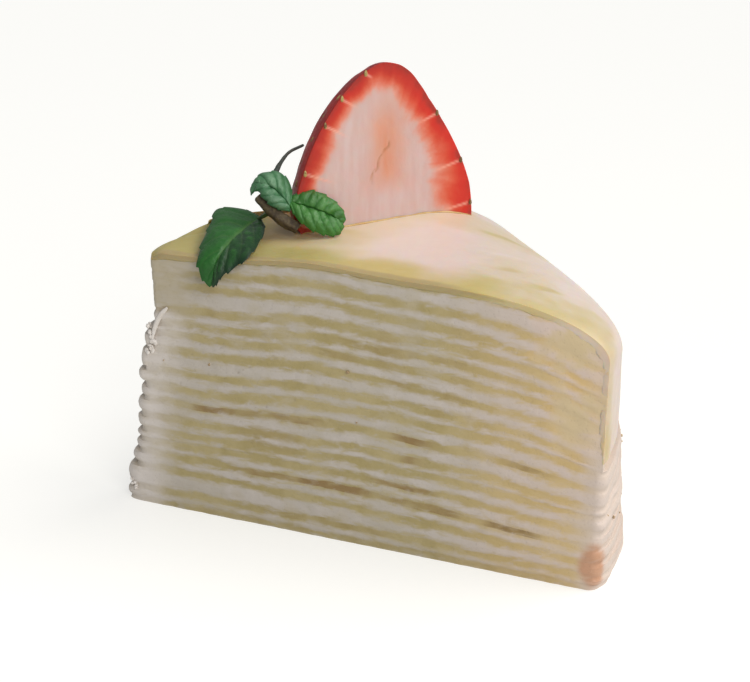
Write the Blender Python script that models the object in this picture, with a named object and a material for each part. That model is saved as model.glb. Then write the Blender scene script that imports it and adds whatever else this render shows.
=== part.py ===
"""One slice of a mille-crepe cake with half a strawberry and a mint sprig on top.

Metres, +Z up. The slice points along -X, its rim is at +X, and its nearer cut face
looks towards -Y. The shape is worked out from the cake's apex, where the two cuts
would meet, and at the end everything is moved so that the origin lies at the middle
of the footprint, on the surface that the slice stands on.
"""
import math
import random

import bmesh
import bpy
from mathutils import Vector

# ---- The slice in plan -------------------------------------------------------------
HALF_ANGLE = math.radians(22.5)
NEAR_RADIUS = 0.1025
FAR_RADIUS = 0.1004
FOOT_FLARE = 0.0019
FLARE_TOP = 0.70
FLARE_SPREAD = 0.25
FOOT_ROUNDING = 0.0010
FOOT_ROUNDING_TOP = 0.06
TIP_REACH_FOOT = 0.0006
TIP_REACH_TOP = 0.0096
TIP_FAR_FOOT = (0.0060, 0.0076)
TIP_FAR_TOP = (0.0194, 0.0123)
TIP_BULGE_FOOT = 0.0018
TIP_BULGE_TOP = 0.0032

# ---- The slice in height -----------------------------------------------------------
HEIGHT = 0.0567
FAR_RISE = 0.0021
TIP_SAG = 0.0006
TIP_SAG_REACH = 0.060
TIP_ROUNDING = 0.0006
TIP_ROUNDING_REACH = 0.04
NEAR_DOME = 0.0016
NEAR_DOME_MIDDLE = 0.043
NEAR_DOME_SPREAD = 0.0145
SHOULDER_NEAR = 0.0107
SHOULDER_FAR = 0.0337
SHOULDER_START_NEAR = 0.0690
SHOULDER_START_FAR = 0.0645
SHOULDER_SPREAD = 0.86
FLAT_SHOULDER_NEAR = 0.0090
FLAT_SHOULDER_FAR = 0.0160
SOFT_START = 0.85
LAYER_TURN = 0.97
LAYER_DEPTH = 1.08

# ---- The layers, from the bottom up ------------------------------------------------
CREPE = 0.00130
SKIN = 0.00160
GAP = 0.0003
SKIN_CLEARANCE = 0.00018
CREAM_AT_TIP = (
    0.00175, 0.00395, 0.00220, 0.00155, 0.00095, 0.00195, 0.00245, 0.00180, 0.00245,
    0.00320, 0.00220, 0.00090, 0.00165, 0.00410, 0.00125, 0.00120,
)
CREAM_AT_RIM = (
    0.00090, 0.00185, 0.00220, 0.00220, 0.00265, 0.00095, 0.00290, 0.00290, 0.00110,
    0.00225, 0.00245, 0.00205, 0.00180, 0.00100, 0.00275, 0.00355,
)
SKIN_HEM_CREPE = 9
HEM_LIFT = 0.0007
HEM_WAVE = 0.0008
HEM_WAVE_TURN = 9.0
HEM_WAVE_START = 1.0
RIPPLE = 0.00050
RIPPLE_WAVES = ((1.0, 7.4, 0.0, 0.0, -2.4), (0.4, 23.0, -9.0, 3.0, 0.0))
CREAM_BULGE = 0.0007
CREPE_TUCK_SHARES = (0.1, 0.6)
SEED = 7

# ---- The strawberry half -----------------------------------------------------------
BERRY_FOOT = (0.0471, 0.0092)
BERRY_TURN = math.radians(27.0)
BERRY_MIDDLE = 0.0080
BERRY_LEFT = 0.0204
BERRY_RIGHT = 0.0217
BERRY_LEAN = 0.0007
BERRY_HEIGHT = 0.0337
BERRY_TOP_SHARE = 0.995
BERRY_DEPTH = 0.0140
BERRY_DEPTH_POWER = 2.4
BERRY_TIP_DEPTH = 0.0015
BERRY_EDGE = 0.0008
BERRY_SHOULDER = 0.12
BERRY_SHOULDER_TOP = 0.20
BERRY_LEFT_POWER = 1.68
BERRY_RIGHT_POWER = 1.57
BERRY_TAPER = 0.62
BERRY_BLUNT = 0.08

# ---- The mint sprig: midribs and stems as the four handles of a curve ----------------
LEAF_THICKNESS = 0.0005
LEAF_END_SHARE = 0.10
LEAF_BASE_POWER = 0.80
LEAF_FULLNESS = 0.65
LEAVES = {
    "mint_leaf_large": {
        "midrib": ((0.0284, 0.0080, 0.0594), (0.0257, 0.0000, 0.0602),
                   (0.0233, -0.0158, 0.0612), (0.0212, -0.0112, 0.0514)),
        "half_width": 0.0055,
        "upward": (0.05, -0.50, 0.80),
        "cup": 0.12,
    },
    "mint_leaf_small": {
        "midrib": ((0.0350, 0.0020, 0.0645), (0.0342, 0.0018, 0.0675),
                   (0.0292, 0.0050, 0.0698), (0.0274, 0.0066, 0.0644)),
        "half_width": 0.0032,
        "upward": (-0.30, -0.80, 0.45),
        "cup": -0.20,
    },
    "mint_leaf_right": {
        "midrib": ((0.0368, 0.0022, 0.0634), (0.0395, 0.0022, 0.0630),
                   (0.0440, 0.0030, 0.0622), (0.0468, 0.0044, 0.0608)),
        "half_width": 0.0042,
        "upward": (0.05, -0.90, 0.45),
        "cup": -0.10,
    },
}
STEMS = {
    "mint_stem": {
        "path": ((0.0296, 0.0044, 0.0636), (0.0320, 0.0040, 0.0620),
                 (0.0345, 0.0032, 0.0605), (0.0366, 0.0020, 0.0590)),
        "radius": 0.0011,
    },
    "mint_stalk": {
        "path": ((0.0316, 0.0085, 0.0645), (0.0320, 0.0110, 0.0685),
                 (0.0345, 0.0150, 0.0704), (0.0372, 0.0185, 0.0722)),
        "radius": 0.0005,
    },
}

# ---- How finely each piece is divided ----------------------------------------------
LAYER_STEPS = 10
STEP_POWER = 1.7
ACROSS_STEPS = 4
SKIN_TOP_STEPS = 24
SKIN_WALL_STEPS = 4
SEARCH_ROUNDS = 30
BERRY_ROWS = 14
BERRY_COLUMNS = 14
LEAF_ROWS = 10
LEAF_COLUMNS = 6
STEM_POINTS = 9
SKIN_SHARP_ANGLE = math.radians(50.0)
BERRY_SHARP_ANGLE = math.radians(45.0)

# ---- Colours (linear) and roughness --------------------------------------------------
CREPE_COLOUR = (0.62, 0.50, 0.24)
CREAM_COLOUR = (0.76, 0.69, 0.62)
SKIN_COLOUR = (0.80, 0.64, 0.42)
BERRY_COLOUR = (0.62, 0.06, 0.03)
LEAF_COLOUR = (0.03, 0.19, 0.04)
STEM_COLOUR = (0.10, 0.08, 0.03)


def lerp(start, end, share):
    """Value a share of the way from start to end."""
    return start + (end - start) * share


def clamp(value):
    """Value held between 0 and 1."""
    return max(0.0, min(1.0, value))


def ease(share):
    """Smooth step from 0 to 1."""
    share = clamp(share)
    return share * share * (3.0 - 2.0 * share)


# ---- Plan ----------------------------------------------------------------------------
def tip_point(across, level):
    """Edge of the blunt tip: across runs from the near cut (0) to the far cut (1)."""
    reach = lerp(TIP_REACH_FOOT, TIP_REACH_TOP, level)
    near = Vector((reach * math.cos(HALF_ANGLE), -reach * math.sin(HALF_ANGLE)))
    far = Vector(TIP_FAR_FOOT).lerp(Vector(TIP_FAR_TOP), level)
    outward = Vector((near.y - far.y, far.x - near.x)).normalized()
    crown = math.sqrt(max(0.0, 1.0 - (2.0 * across - 1.0) ** 2))
    bulge = lerp(TIP_BULGE_FOOT, TIP_BULGE_TOP, level)
    return near.lerp(far, across) + outward * bulge * crown


def rim_radius(across):
    """Radius of the cake's side above its foot."""
    return lerp(NEAR_RADIUS, FAR_RADIUS, across)


def foot_flare(across, level):
    """How far the side stands out near its foot, less the rounding at the very bottom."""
    flare = FOOT_FLARE * clamp(1.0 - level / FLARE_TOP) * ease(across / FLARE_SPREAD)
    return flare - FOOT_ROUNDING * clamp(1.0 - level / FOOT_ROUNDING_TOP)


def rim_point(across, radius):
    """Point of the rim at a radius from the apex."""
    angle = lerp(-HALF_ANGLE, HALF_ANGLE, across)
    return Vector((radius * math.cos(angle), radius * math.sin(angle)))


# ---- Height --------------------------------------------------------------------------
def way_out(radius, across):
    """Share of the way from the top's blunt tip to the rim."""
    start = tip_point(across, 1.0).length
    return clamp((radius - start) / (rim_radius(across) - start))


def crown_height(radius, across):
    """Height of the cake's top before its shoulder bends down."""
    along = way_out(radius, across)
    height = HEIGHT + FAR_RISE * across ** 2
    height -= TIP_SAG * clamp(1.0 - radius / TIP_SAG_REACH)
    from_middle = (radius - NEAR_DOME_MIDDLE) / NEAR_DOME_SPREAD
    height += NEAR_DOME * math.exp(-from_middle ** 2) * (1.0 - across) ** 3
    return height - TIP_ROUNDING * clamp(1.0 - along / TIP_ROUNDING_REACH) ** 2


def shoulder_share(radius, across, inset):
    """Share of the way over the shoulder, from its start to the upright side."""
    spread = ease(across / SHOULDER_SPREAD)
    start = lerp(SHOULDER_START_NEAR, SHOULDER_START_FAR, spread)
    return max(0.0, (radius - start) / (rim_radius(across) - inset - start))


def shoulder_drop(share, across, near_depth, far_depth):
    """Elliptical drop of the shoulder, deeper towards the far cut."""
    depth = lerp(near_depth, far_depth, ease(across / SHOULDER_SPREAD))
    return depth * (1.0 - math.sqrt(1.0 - min(1.0, share) ** 2))


def softened(share):
    """The same share for an inner layer, which never turns quite upright."""
    if share > SOFT_START:
        tail = 1.0 - SOFT_START
        share = 1.0 - tail * math.exp((SOFT_START - share) / tail)
    return share * LAYER_TURN


def skin_height(radius, across, inset):
    """Height of the top crepe's surface, or of the surface an inset below it."""
    share = shoulder_share(radius, across, inset)
    drop = shoulder_drop(share, across, SHOULDER_NEAR, SHOULDER_FAR)
    return crown_height(radius, across) - inset - drop


def stack_height(radius, across, level):
    """Height of a full stack that bends like the layer at this level.

    Low layers keep a flatter shoulder, and high ones follow the top crepe's.
    """
    inset = SKIN + GAP / 2.0
    share = softened(shoulder_share(radius, across, inset))
    flat = shoulder_drop(share, across, FLAT_SHOULDER_NEAR, FLAT_SHOULDER_FAR)
    full = shoulder_drop(share, across, SHOULDER_NEAR, SHOULDER_FAR)
    drop = lerp(flat, LAYER_DEPTH * full, level ** 2)
    return crown_height(radius, across) - inset - drop


def boundary_levels():
    """Levels, as shares of the stack, of every surface between layers, at tip and rim."""
    levels = [(0.0, 0.0)]
    tip = rim = 0.0
    for cream_tip, cream_rim in zip(CREAM_AT_TIP, CREAM_AT_RIM):
        for thick_tip, thick_rim in ((CREPE, CREPE), (cream_tip, cream_rim)):
            tip += thick_tip
            rim += thick_rim
            levels.append((tip, rim))
    return [(low / tip, high / rim) for low, high in levels]


LEVELS = boundary_levels()


def ripple(level, across, along):
    """Slow unevenness shared by neighbouring layers, nil at the foot and at the top."""
    wave = 0.0
    for size, by_along, by_level, by_across, start in RIPPLE_WAVES:
        wave += size * math.sin(by_along * along + by_level * level + by_across * across + start)
    return RIPPLE * math.sin(math.pi * level) * wave


def boundary_height(index, radius, across):
    """Height of one surface between layers."""
    along = way_out(radius, across)
    level = lerp(*LEVELS[index], along)
    return level * stack_height(radius, across, level) + ripple(level, across, along)


def hem_height(across):
    """Lower edge of the top crepe where it hangs down the side."""
    radius = rim_radius(across) - SKIN
    hem = boundary_height(2 * SKIN_HEM_CREPE - 1, radius, across)
    wave = 0.5 + 0.5 * math.sin(HEM_WAVE_TURN * across + HEM_WAVE_START)
    return hem + HEM_LIFT + HEM_WAVE * wave


# ---- Making meshes -------------------------------------------------------------------
def material(name, colour, roughness):
    """Plain finish of one piece."""
    finish = bpy.data.materials.new(name)
    finish.use_nodes = True
    shader = finish.node_tree.nodes["Principled BSDF"]
    shader.inputs["Base Color"].default_value = (*colour, 1.0)
    shader.inputs["Roughness"].default_value = roughness
    shader.inputs["Metallic"].default_value = 0.0
    return finish


def solid_between(name, lower, upper, finish):
    """Closed solid between two grids of points that match row for row."""
    rows = len(lower)
    columns = len(lower[0])
    shape = bmesh.new()
    sheets = [[[shape.verts.new(p) for p in row] for row in grid] for grid in (lower, upper)]
    for sheet in sheets:
        for i in range(rows - 1):
            for j in range(columns - 1):
                shape.faces.new((sheet[i][j], sheet[i + 1][j],
                                 sheet[i + 1][j + 1], sheet[i][j + 1]))
    border = [(i, 0) for i in range(rows)]
    border += [(rows - 1, j) for j in range(1, columns)]
    border += [(i, columns - 1) for i in range(rows - 2, -1, -1)]
    border += [(0, j) for j in range(columns - 2, 0, -1)]
    for (i, j), (k, m) in zip(border, border[1:] + border[:1]):
        shape.faces.new((sheets[0][i][j], sheets[0][k][m], sheets[1][k][m], sheets[1][i][j]))
    bmesh.ops.recalc_face_normals(shape, faces=shape.faces)
    mesh = bpy.data.meshes.new(name)
    shape.to_mesh(mesh)
    shape.free()
    return add_piece(name, mesh, finish)


def add_piece(name, data, finish):
    """Put a mesh or a curve in the scene as a named piece with its finish."""
    data.materials.append(finish)
    piece = bpy.data.objects.new(name, data)
    bpy.context.collection.objects.link(piece)
    return piece


def curve_point(handles, share):
    """Point of the curve that four handles give."""
    points = [Vector(handle) for handle in handles]
    while len(points) > 1:
        points = [a.lerp(b, share) for a, b in zip(points, points[1:])]
    return points[0]


def curve_direction(handles, share):
    """Unit direction of the same curve."""
    step = 0.01
    ahead = curve_point(handles, min(1.0, share + step))
    return (ahead - curve_point(handles, max(0.0, share - step))).normalized()


# ---- The layers ----------------------------------------------------------------------
def under_skin(index):
    """Whether the layer above a boundary ends behind the hanging top crepe."""
    return index >= 2 * SKIN_HEM_CREPE - 1


def layer_reach(index, across, tip, rim):
    """Share of the way to the rim at which a layer meets the underside of the top crepe."""
    def clear(along):
        radius = tip.lerp(rim, along).length
        top = boundary_height(index + 1, radius, across) - GAP / 2.0
        return top <= skin_height(radius, across, SKIN + SKIN_CLEARANCE)

    if clear(1.0):
        return 1.0
    low, high = 0.5, 1.0
    for _ in range(SEARCH_ROUNDS):
        middle = 0.5 * (low + high)
        low, high = (middle, high) if clear(middle) else (low, middle)
    return low


def build_layer(name, index, finish, bulge):
    """One crepe or one cream layer, between boundary index and the next one up."""
    level = LEVELS[index][0]
    lower = []
    upper = []
    bottom_gap = 0.0 if index == 0 else GAP / 2.0
    for column in range(ACROSS_STEPS + 1):
        across = column / ACROSS_STEPS
        tip = tip_point(across, level)
        if under_skin(index):
            rim = rim_point(across, rim_radius(across) - SKIN - GAP)
            reach = layer_reach(index, across, tip, rim)
        else:
            rim = rim_point(across, rim_radius(across) + foot_flare(across, level) + bulge)
            reach = 1.0
        start = -bulge / (rim - tip).length
        low_row = []
        high_row = []
        for step in range(LAYER_STEPS + 1):
            share = 1.0 - (1.0 - step / LAYER_STEPS) ** STEP_POWER
            along = lerp(start, reach, share)
            place = tip + (rim - tip) * along
            radius = place.length
            low = boundary_height(index, radius, across) + bottom_gap
            high = boundary_height(index + 1, radius, across) - GAP / 2.0
            low_row.append((place.x, place.y, low))
            high_row.append((place.x, place.y, high))
        lower.append(low_row)
        upper.append(high_row)
    return solid_between(name, lower, upper, finish)


def build_stack():
    """Sixteen crepes with cream above each."""
    noise = random.Random(SEED)
    pieces = []
    for number in range(len(CREAM_AT_TIP)):
        crepe = f"crepe_{number + 1:02d}"
        cream = f"cream_{number + 1:02d}"
        flour = material(crepe, CREPE_COLOUR, 0.6)
        dairy = material(cream, CREAM_COLOUR, 0.45)
        tuck = -CREAM_BULGE * noise.uniform(*CREPE_TUCK_SHARES)
        bulge = CREAM_BULGE * noise.random()
        pieces.append(build_layer(crepe, 2 * number, flour, tuck))
        pieces.append(build_layer(cream, 2 * number + 1, dairy, bulge))
    return pieces


def build_top_crepe():
    """The last crepe, draped over the shoulder and hanging down the side."""
    outer = []
    inner = []
    for column in range(ACROSS_STEPS + 1):
        across = column / ACROSS_STEPS
        tip = tip_point(across, 1.0)
        for grid, inset in ((outer, 0.0), (inner, SKIN)):
            rim = rim_point(across, rim_radius(across) - inset)
            row = []
            for step in range(SKIN_TOP_STEPS + 1):
                along = 1.0 - (1.0 - step / SKIN_TOP_STEPS) ** STEP_POWER
                place = tip.lerp(rim, along)
                height = skin_height(place.length, across, inset)
                row.append((place.x, place.y, height))
            brow = row[-1][2]
            hem = hem_height(across)
            for step in range(1, SKIN_WALL_STEPS + 1):
                row.append((rim.x, rim.y, lerp(brow, hem, step / SKIN_WALL_STEPS)))
            grid.append(row)
    finish = material("top_crepe", SKIN_COLOUR, 0.45)
    piece = solid_between("top_crepe", inner, outer, finish)
    piece.data.shade_smooth()
    piece.data.set_sharp_from_angle(angle=SKIN_SHARP_ANGLE)
    return piece


# ---- The strawberry ------------------------------------------------------------------
def surface_below(place):
    """Height of the cake's top under a point given from the apex."""
    low, high = 0.0, 1.0
    for _ in range(SEARCH_ROUNDS):
        across = 0.5 * (low + high)
        tip = tip_point(across, 1.0)
        run = rim_point(across, rim_radius(across)) - tip
        side = run.x * (place.y - tip.y) - run.y * (place.x - tip.x)
        low, high = (across, high) if side > 0.0 else (low, across)
    return skin_height(min(place.length, rim_radius(across)), across, 0.0)


def berry_half_width(share, left):
    """Half-width of the cut face at a share of its height, narrow at the apex."""
    power = BERRY_LEFT_POWER if left else BERRY_RIGHT_POWER
    width = max((1.0 - share ** power) ** BERRY_TAPER, BERRY_BLUNT)
    if left:
        width *= 1.0 - BERRY_SHOULDER * clamp(1.0 - share / BERRY_SHOULDER_TOP) ** 2
    return width * (BERRY_LEFT if left else BERRY_RIGHT)


def build_berry():
    """Half a strawberry on its cut base, its flat face turned to the near cut."""
    along_face = Vector((math.cos(BERRY_TURN), math.sin(BERRY_TURN)))
    inward = Vector((-along_face.y, along_face.x))
    foot = Vector(BERRY_FOOT)
    front = []
    back = []
    for row in range(BERRY_ROWS + 1):
        share = math.sin(0.5 * math.pi * row / BERRY_ROWS) * BERRY_TOP_SHARE
        face_row = []
        back_row = []
        for column in range(BERRY_COLUMNS + 1):
            swing = -math.cos(math.pi * column / BERRY_COLUMNS)
            width = berry_half_width(share, swing < 0.0)
            offset = BERRY_MIDDLE + BERRY_LEAN * share + swing * width
            round_share = math.sqrt(max(0.0, 1.0 - swing * swing))
            depth = BERRY_DEPTH * math.sqrt(1.0 - share ** BERRY_DEPTH_POWER)
            depth = BERRY_EDGE + max(depth, BERRY_TIP_DEPTH) * round_share
            for target, distance in ((face_row, 0.0), (back_row, depth)):
                place = foot + along_face * offset + inward * distance
                base = surface_below(place) + GAP
                height = lerp(base, HEIGHT + BERRY_HEIGHT, share)
                target.append((place.x, place.y, height))
        front.append(face_row)
        back.append(back_row)
    finish = material("strawberry_half", BERRY_COLOUR, 0.3)
    piece = solid_between("strawberry_half", front, back, finish)
    piece.data.shade_smooth()
    piece.data.set_sharp_from_angle(angle=BERRY_SHARP_ANGLE)
    return piece


# ---- The mint ------------------------------------------------------------------------
def build_leaf(name, midrib, half_width, upward, cup):
    """A leaf along its midrib: upward is its face, cup lifts or drops its two margins."""
    finish = material(name, LEAF_COLOUR, 0.45)
    under = []
    over = []
    for row in range(LEAF_ROWS + 1):
        share = row / LEAF_ROWS
        middle = curve_point(midrib, share)
        ahead = curve_direction(midrib, share)
        side = ahead.cross(Vector(upward)).normalized()
        face = side.cross(ahead).normalized()
        fullness = math.sin(math.pi * share ** LEAF_BASE_POWER) ** LEAF_FULLNESS
        width = half_width * max(LEAF_END_SHARE, fullness)
        under_row = []
        over_row = []
        for column in range(LEAF_COLUMNS + 1):
            swing = 2.0 * column / LEAF_COLUMNS - 1.0
            place = middle + side * (swing * width) + face * (cup * width * swing * swing)
            under_row.append(place - face * LEAF_THICKNESS * 0.5)
            over_row.append(place + face * LEAF_THICKNESS * 0.5)
        under.append(under_row)
        over.append(over_row)
    piece = solid_between(name, under, over, finish)
    piece.data.shade_smooth()
    return piece


def build_stem(name, path, radius):
    """A round stem along a curve, with closed ends."""
    curve = bpy.data.curves.new(name, "CURVE")
    curve.dimensions = "3D"
    curve.bevel_depth = radius
    curve.bevel_resolution = 2
    curve.use_fill_caps = True
    spline = curve.splines.new("POLY")
    spline.points.add(STEM_POINTS - 1)
    for number, point in enumerate(spline.points):
        point.co = (*curve_point(path, number / (STEM_POINTS - 1)), 1.0)
    return add_piece(name, curve, material(name, STEM_COLOUR, 0.6))


def build_mint():
    """Three leaves, the sprig's stem and a thin bare stalk."""
    leaves = [build_leaf(name, **shape) for name, shape in LEAVES.items()]
    stems = [build_stem(name, **shape) for name, shape in STEMS.items()]
    return leaves + stems


# ---- The whole -----------------------------------------------------------------------
def clear_scene():
    """Remove whatever the file already holds."""
    for old in list(bpy.data.objects):
        bpy.data.objects.remove(old, do_unlink=True)


def centre_footprint(pieces):
    """Move every piece so that the origin is under the middle of the whole."""
    bpy.context.view_layer.update()
    graph = bpy.context.evaluated_depsgraph_get()
    corners = []
    for piece in pieces:
        shape = piece.evaluated_get(graph).to_mesh()
        corners += [vertex.co.copy() for vertex in shape.vertices]
    middle_x = 0.5 * (min(c.x for c in corners) + max(c.x for c in corners))
    middle_y = 0.5 * (min(c.y for c in corners) + max(c.y for c in corners))
    for piece in pieces:
        piece.location = (-middle_x, -middle_y, 0.0)


def main():
    """Build the slice."""
    clear_scene()
    pieces = build_stack()
    pieces.append(build_top_crepe())
    pieces.append(build_berry())
    pieces += build_mint()
    centre_footprint(pieces)


main()
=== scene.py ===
"""Looks of one slice of a mille-crepe cake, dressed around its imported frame.

The crepes, the cream between them, the draped top crepe, the strawberry half and the
mint sprig are each made as a fine mesh in the place that the frame's solid holds.
Lengths are in metres, and in millimetres where MM or a docstring says so. Shapes are worked
out from the cake's apex, where the two cuts would meet, and then moved to where the frame's
top crepe puts that apex. "Along" is the share of the way from the tip to the rim, "across"
from the near cut to the far cut, and "level" from the foot of the stack to its top.
"""
import functools
import itertools
import logging
import math
from dataclasses import dataclass
from enum import Enum
from typing import Any, Optional, Sequence

import bpy
import numpy as np
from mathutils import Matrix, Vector


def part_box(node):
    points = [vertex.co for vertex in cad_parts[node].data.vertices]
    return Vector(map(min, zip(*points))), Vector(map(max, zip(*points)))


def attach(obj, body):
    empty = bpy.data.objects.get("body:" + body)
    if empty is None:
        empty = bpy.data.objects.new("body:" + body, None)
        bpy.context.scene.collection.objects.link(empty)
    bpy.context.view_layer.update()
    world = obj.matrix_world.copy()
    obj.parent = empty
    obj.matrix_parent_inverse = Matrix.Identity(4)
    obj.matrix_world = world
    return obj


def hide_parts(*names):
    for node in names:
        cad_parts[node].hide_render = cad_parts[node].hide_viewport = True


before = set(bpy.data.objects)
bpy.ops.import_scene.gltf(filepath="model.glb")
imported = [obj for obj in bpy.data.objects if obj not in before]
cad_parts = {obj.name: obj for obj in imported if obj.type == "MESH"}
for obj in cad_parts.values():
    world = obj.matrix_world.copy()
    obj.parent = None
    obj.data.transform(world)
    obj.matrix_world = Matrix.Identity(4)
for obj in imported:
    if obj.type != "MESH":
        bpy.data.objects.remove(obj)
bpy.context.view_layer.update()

LOG = logging.getLogger("crepe_cake")
Array = np.ndarray
Colour = tuple[float, float, float]
Point = tuple[float, float, float]
Span = tuple[float, float]
Socket = bpy.types.NodeSocket

MM = 0.001


# ---- Numbers ---------------------------------------------------------------------------
def mix(start: Any, end: Any, share: Any) -> Any:
    """Value a share of the way from start to end."""
    return start + (end - start) * share


def ease(share: Array) -> Array:
    """Smooth step from 0 to 1."""
    share = np.clip(share, 0.0, 1.0)
    return share * share * (3.0 - 2.0 * share)


def window(value: Array, low: float, high: float) -> Array:
    """Smooth step from 0 at low to 1 at high."""
    return ease((value - low) / (high - low))


def rise(value: Array, low: float, high: float) -> Array:
    """Smooth step from 0 at low to 1 at high, both in millimetres."""
    return window(value, low * MM, high * MM)


def fall(value: Array, low: float, high: float) -> Array:
    """Smooth step from 1 at low to 0 at high, both in millimetres."""
    return 1.0 - rise(value, low, high)


def hump(value: Array, middle: Any, width: Any) -> Array:
    """Soft bump of height 1 around a middle."""
    return np.exp(-(((value - middle) / width) ** 2))


def spot(plan: Array, middle: Sequence[float], size: Sequence[float]) -> Array:
    """Soft round spot of height 1 in plan, with its middle and size in millimetres."""
    return np.exp(-np.sum(((plan - np.array(middle) * MM) / (np.array(size) * MM)) ** 2, axis=-1))


def strongest(*values: Array) -> Array:
    """The greatest of several values at each place."""
    return functools.reduce(np.maximum, values)


def held(values: Array, top: float = 1.0) -> Array:
    """Values held between 0 and a top."""
    return np.clip(values, 0.0, top)


def length_of(vectors: Array) -> Array:
    """Length of each vector."""
    return np.linalg.norm(vectors, axis=-1)


def unit(vectors: Array) -> Array:
    """Vectors scaled to length 1."""
    return vectors / np.maximum(np.linalg.norm(vectors, axis=-1, keepdims=True), 1e-12)


def raised(plan: Array, heights: Array) -> Array:
    """Places in plan joined with their heights."""
    return np.concatenate((plan, heights[..., None]), -1)


def normals(grid: Array) -> Array:
    """Direction square to a grid of places at each of them."""
    return unit(np.cross(np.gradient(grid, axis=0), np.gradient(grid, axis=1)))


def turns(count: int) -> Array:
    """Even angles once round."""
    return np.linspace(0.0, 2.0 * math.pi, count, endpoint=False)


class Noise:
    """Repeatable smooth noise over arrays of points."""

    PRIMES = (73856093, 19349663, 83492791)
    SEED_STEP = 9781
    SALT_STEP = 6271
    STIRS = ((13, 1274126177), (15, 668265263))
    MASK = 0x7FFFFFFF
    OCTAVE_SHIFT = 17.3
    USUAL_PEAK = 1.4

    def __init__(self, seed: int) -> None:
        """Keeps the seed that tells this noise from another."""
        self.seed = seed

    def chance(self, cells: Array, salt: int = 0) -> Array:
        """Random value for lattice cells.

        Args:
            cells: Whole-number cell positions, with x, y and z last.
            salt: Tells several values of one cell apart.

        Returns:
            A value from 0 to 1 for each cell.
        """
        place = cells.astype(np.int64)
        code = place[..., 0] * self.PRIMES[0] ^ place[..., 1] * self.PRIMES[1]
        code = code ^ place[..., 2] * self.PRIMES[2] ^ (self.seed * self.SEED_STEP + salt * self.SALT_STEP)
        for shift, factor in self.STIRS:
            code = ((code ^ (code >> shift)) * factor) & self.MASK
        return ((code >> 7) & 0xFFFF) / 65535.0

    def smooth(self, points: Array) -> Array:
        """Smooth noise.

        Args:
            points: Places, in units as wide as one feature.

        Returns:
            A value from -1 to 1 at each place.
        """
        base = np.floor(points)
        part = ease(points - base)
        total = np.zeros(points.shape[:-1])
        for corner in itertools.product((0, 1), repeat=3):
            shift = np.array(corner)
            weight = np.prod(np.where(shift == 1, part, 1.0 - part), axis=-1)
            total += weight * self.chance(base + shift)
        return 2.0 * total - 1.0

    def rough(self, points: Array, octaves: int = 2) -> Array:
        """Smooth noise with finer noise added.

        Args:
            points: Places, in units as wide as the widest feature.
            octaves: How many noises are added, each half as wide as the one before.

        Returns:
            A value from about -1 to 1 at each place.
        """
        total = np.zeros(points.shape[:-1])
        for octave in range(octaves):
            total += self.smooth(points * 2.0 ** octave + self.OCTAVE_SHIFT * octave) * 0.5 ** octave
        return total / self.USUAL_PEAK

    def grain(self, places: Array, size: float, shift: float = 0.0, octaves: int = 2) -> Array:
        """Rough noise with features a size in millimetres wide, from its own part of space."""
        return self.rough(places / (size * MM) + shift, octaves)

    def pits(self, points: Array, share: float, radius: float) -> Array:
        """Round pits scattered one to a cell.

        Args:
            points: Places, in cells.
            share: Share of the cells that hold a pit.
            radius: Usual radius of a pit, in cells.

        Returns:
            Depth from 0 to 1 at each place.
        """
        base = np.floor(points)
        deepest = np.zeros(points.shape[:-1])
        for shift in itertools.product((-1, 0, 1), repeat=3):
            cell = base + np.array(shift)
            centre = cell + np.stack([self.chance(cell, salt) for salt in (1, 2, 3)], -1)
            near = length_of(points - centre) / (radius * (0.4 + self.chance(cell, 4)))
            depth = held(1.0 - near ** 2) * (self.chance(cell, 5) < share)
            deepest = np.maximum(deepest, depth)
        return deepest


NOISE = Noise(7)


def smooth_path(handles: Sequence[Point], shares: Array) -> Array:
    """Points of the smooth curve that passes through every handle.

    Args:
        handles: The curve's own points, in order.
        shares: Places along it, from 0 to 1.

    Returns:
        One point for each share.
    """
    knots = np.array(handles, float)
    knots = np.vstack((2.0 * knots[0] - knots[1], knots, 2.0 * knots[-1] - knots[-2]))
    spans = len(handles) - 1
    place = held(shares) * spans
    index = np.minimum(place.astype(int), spans - 1)
    t = (place - index)[:, None]
    a, b, c, d = (knots[index + step] for step in range(4))
    return 0.5 * (2.0 * b + (c - a) * t + (2.0 * a - 5.0 * b + 4.0 * c - d) * t ** 2
                  + (3.0 * b - a - 3.0 * c + d) * t ** 3)


# ---- Meshes ----------------------------------------------------------------------------
def border_of(rows: int, columns: int) -> tuple[Array, Array]:
    """Rows and columns of a grid's outermost places, once round.

    Args:
        rows: How many rows it has.
        columns: How many columns it has.

    Returns:
        The places' row numbers and column numbers.
    """
    border = [(i, 0) for i in range(rows)] + [(rows - 1, j) for j in range(1, columns)]
    border += [(i, columns - 1) for i in range(rows - 2, -1, -1)]
    border += [(0, j) for j in range(columns - 2, 0, -1)]
    i, j = (np.array(values) for values in zip(*border))
    return i, j


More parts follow.
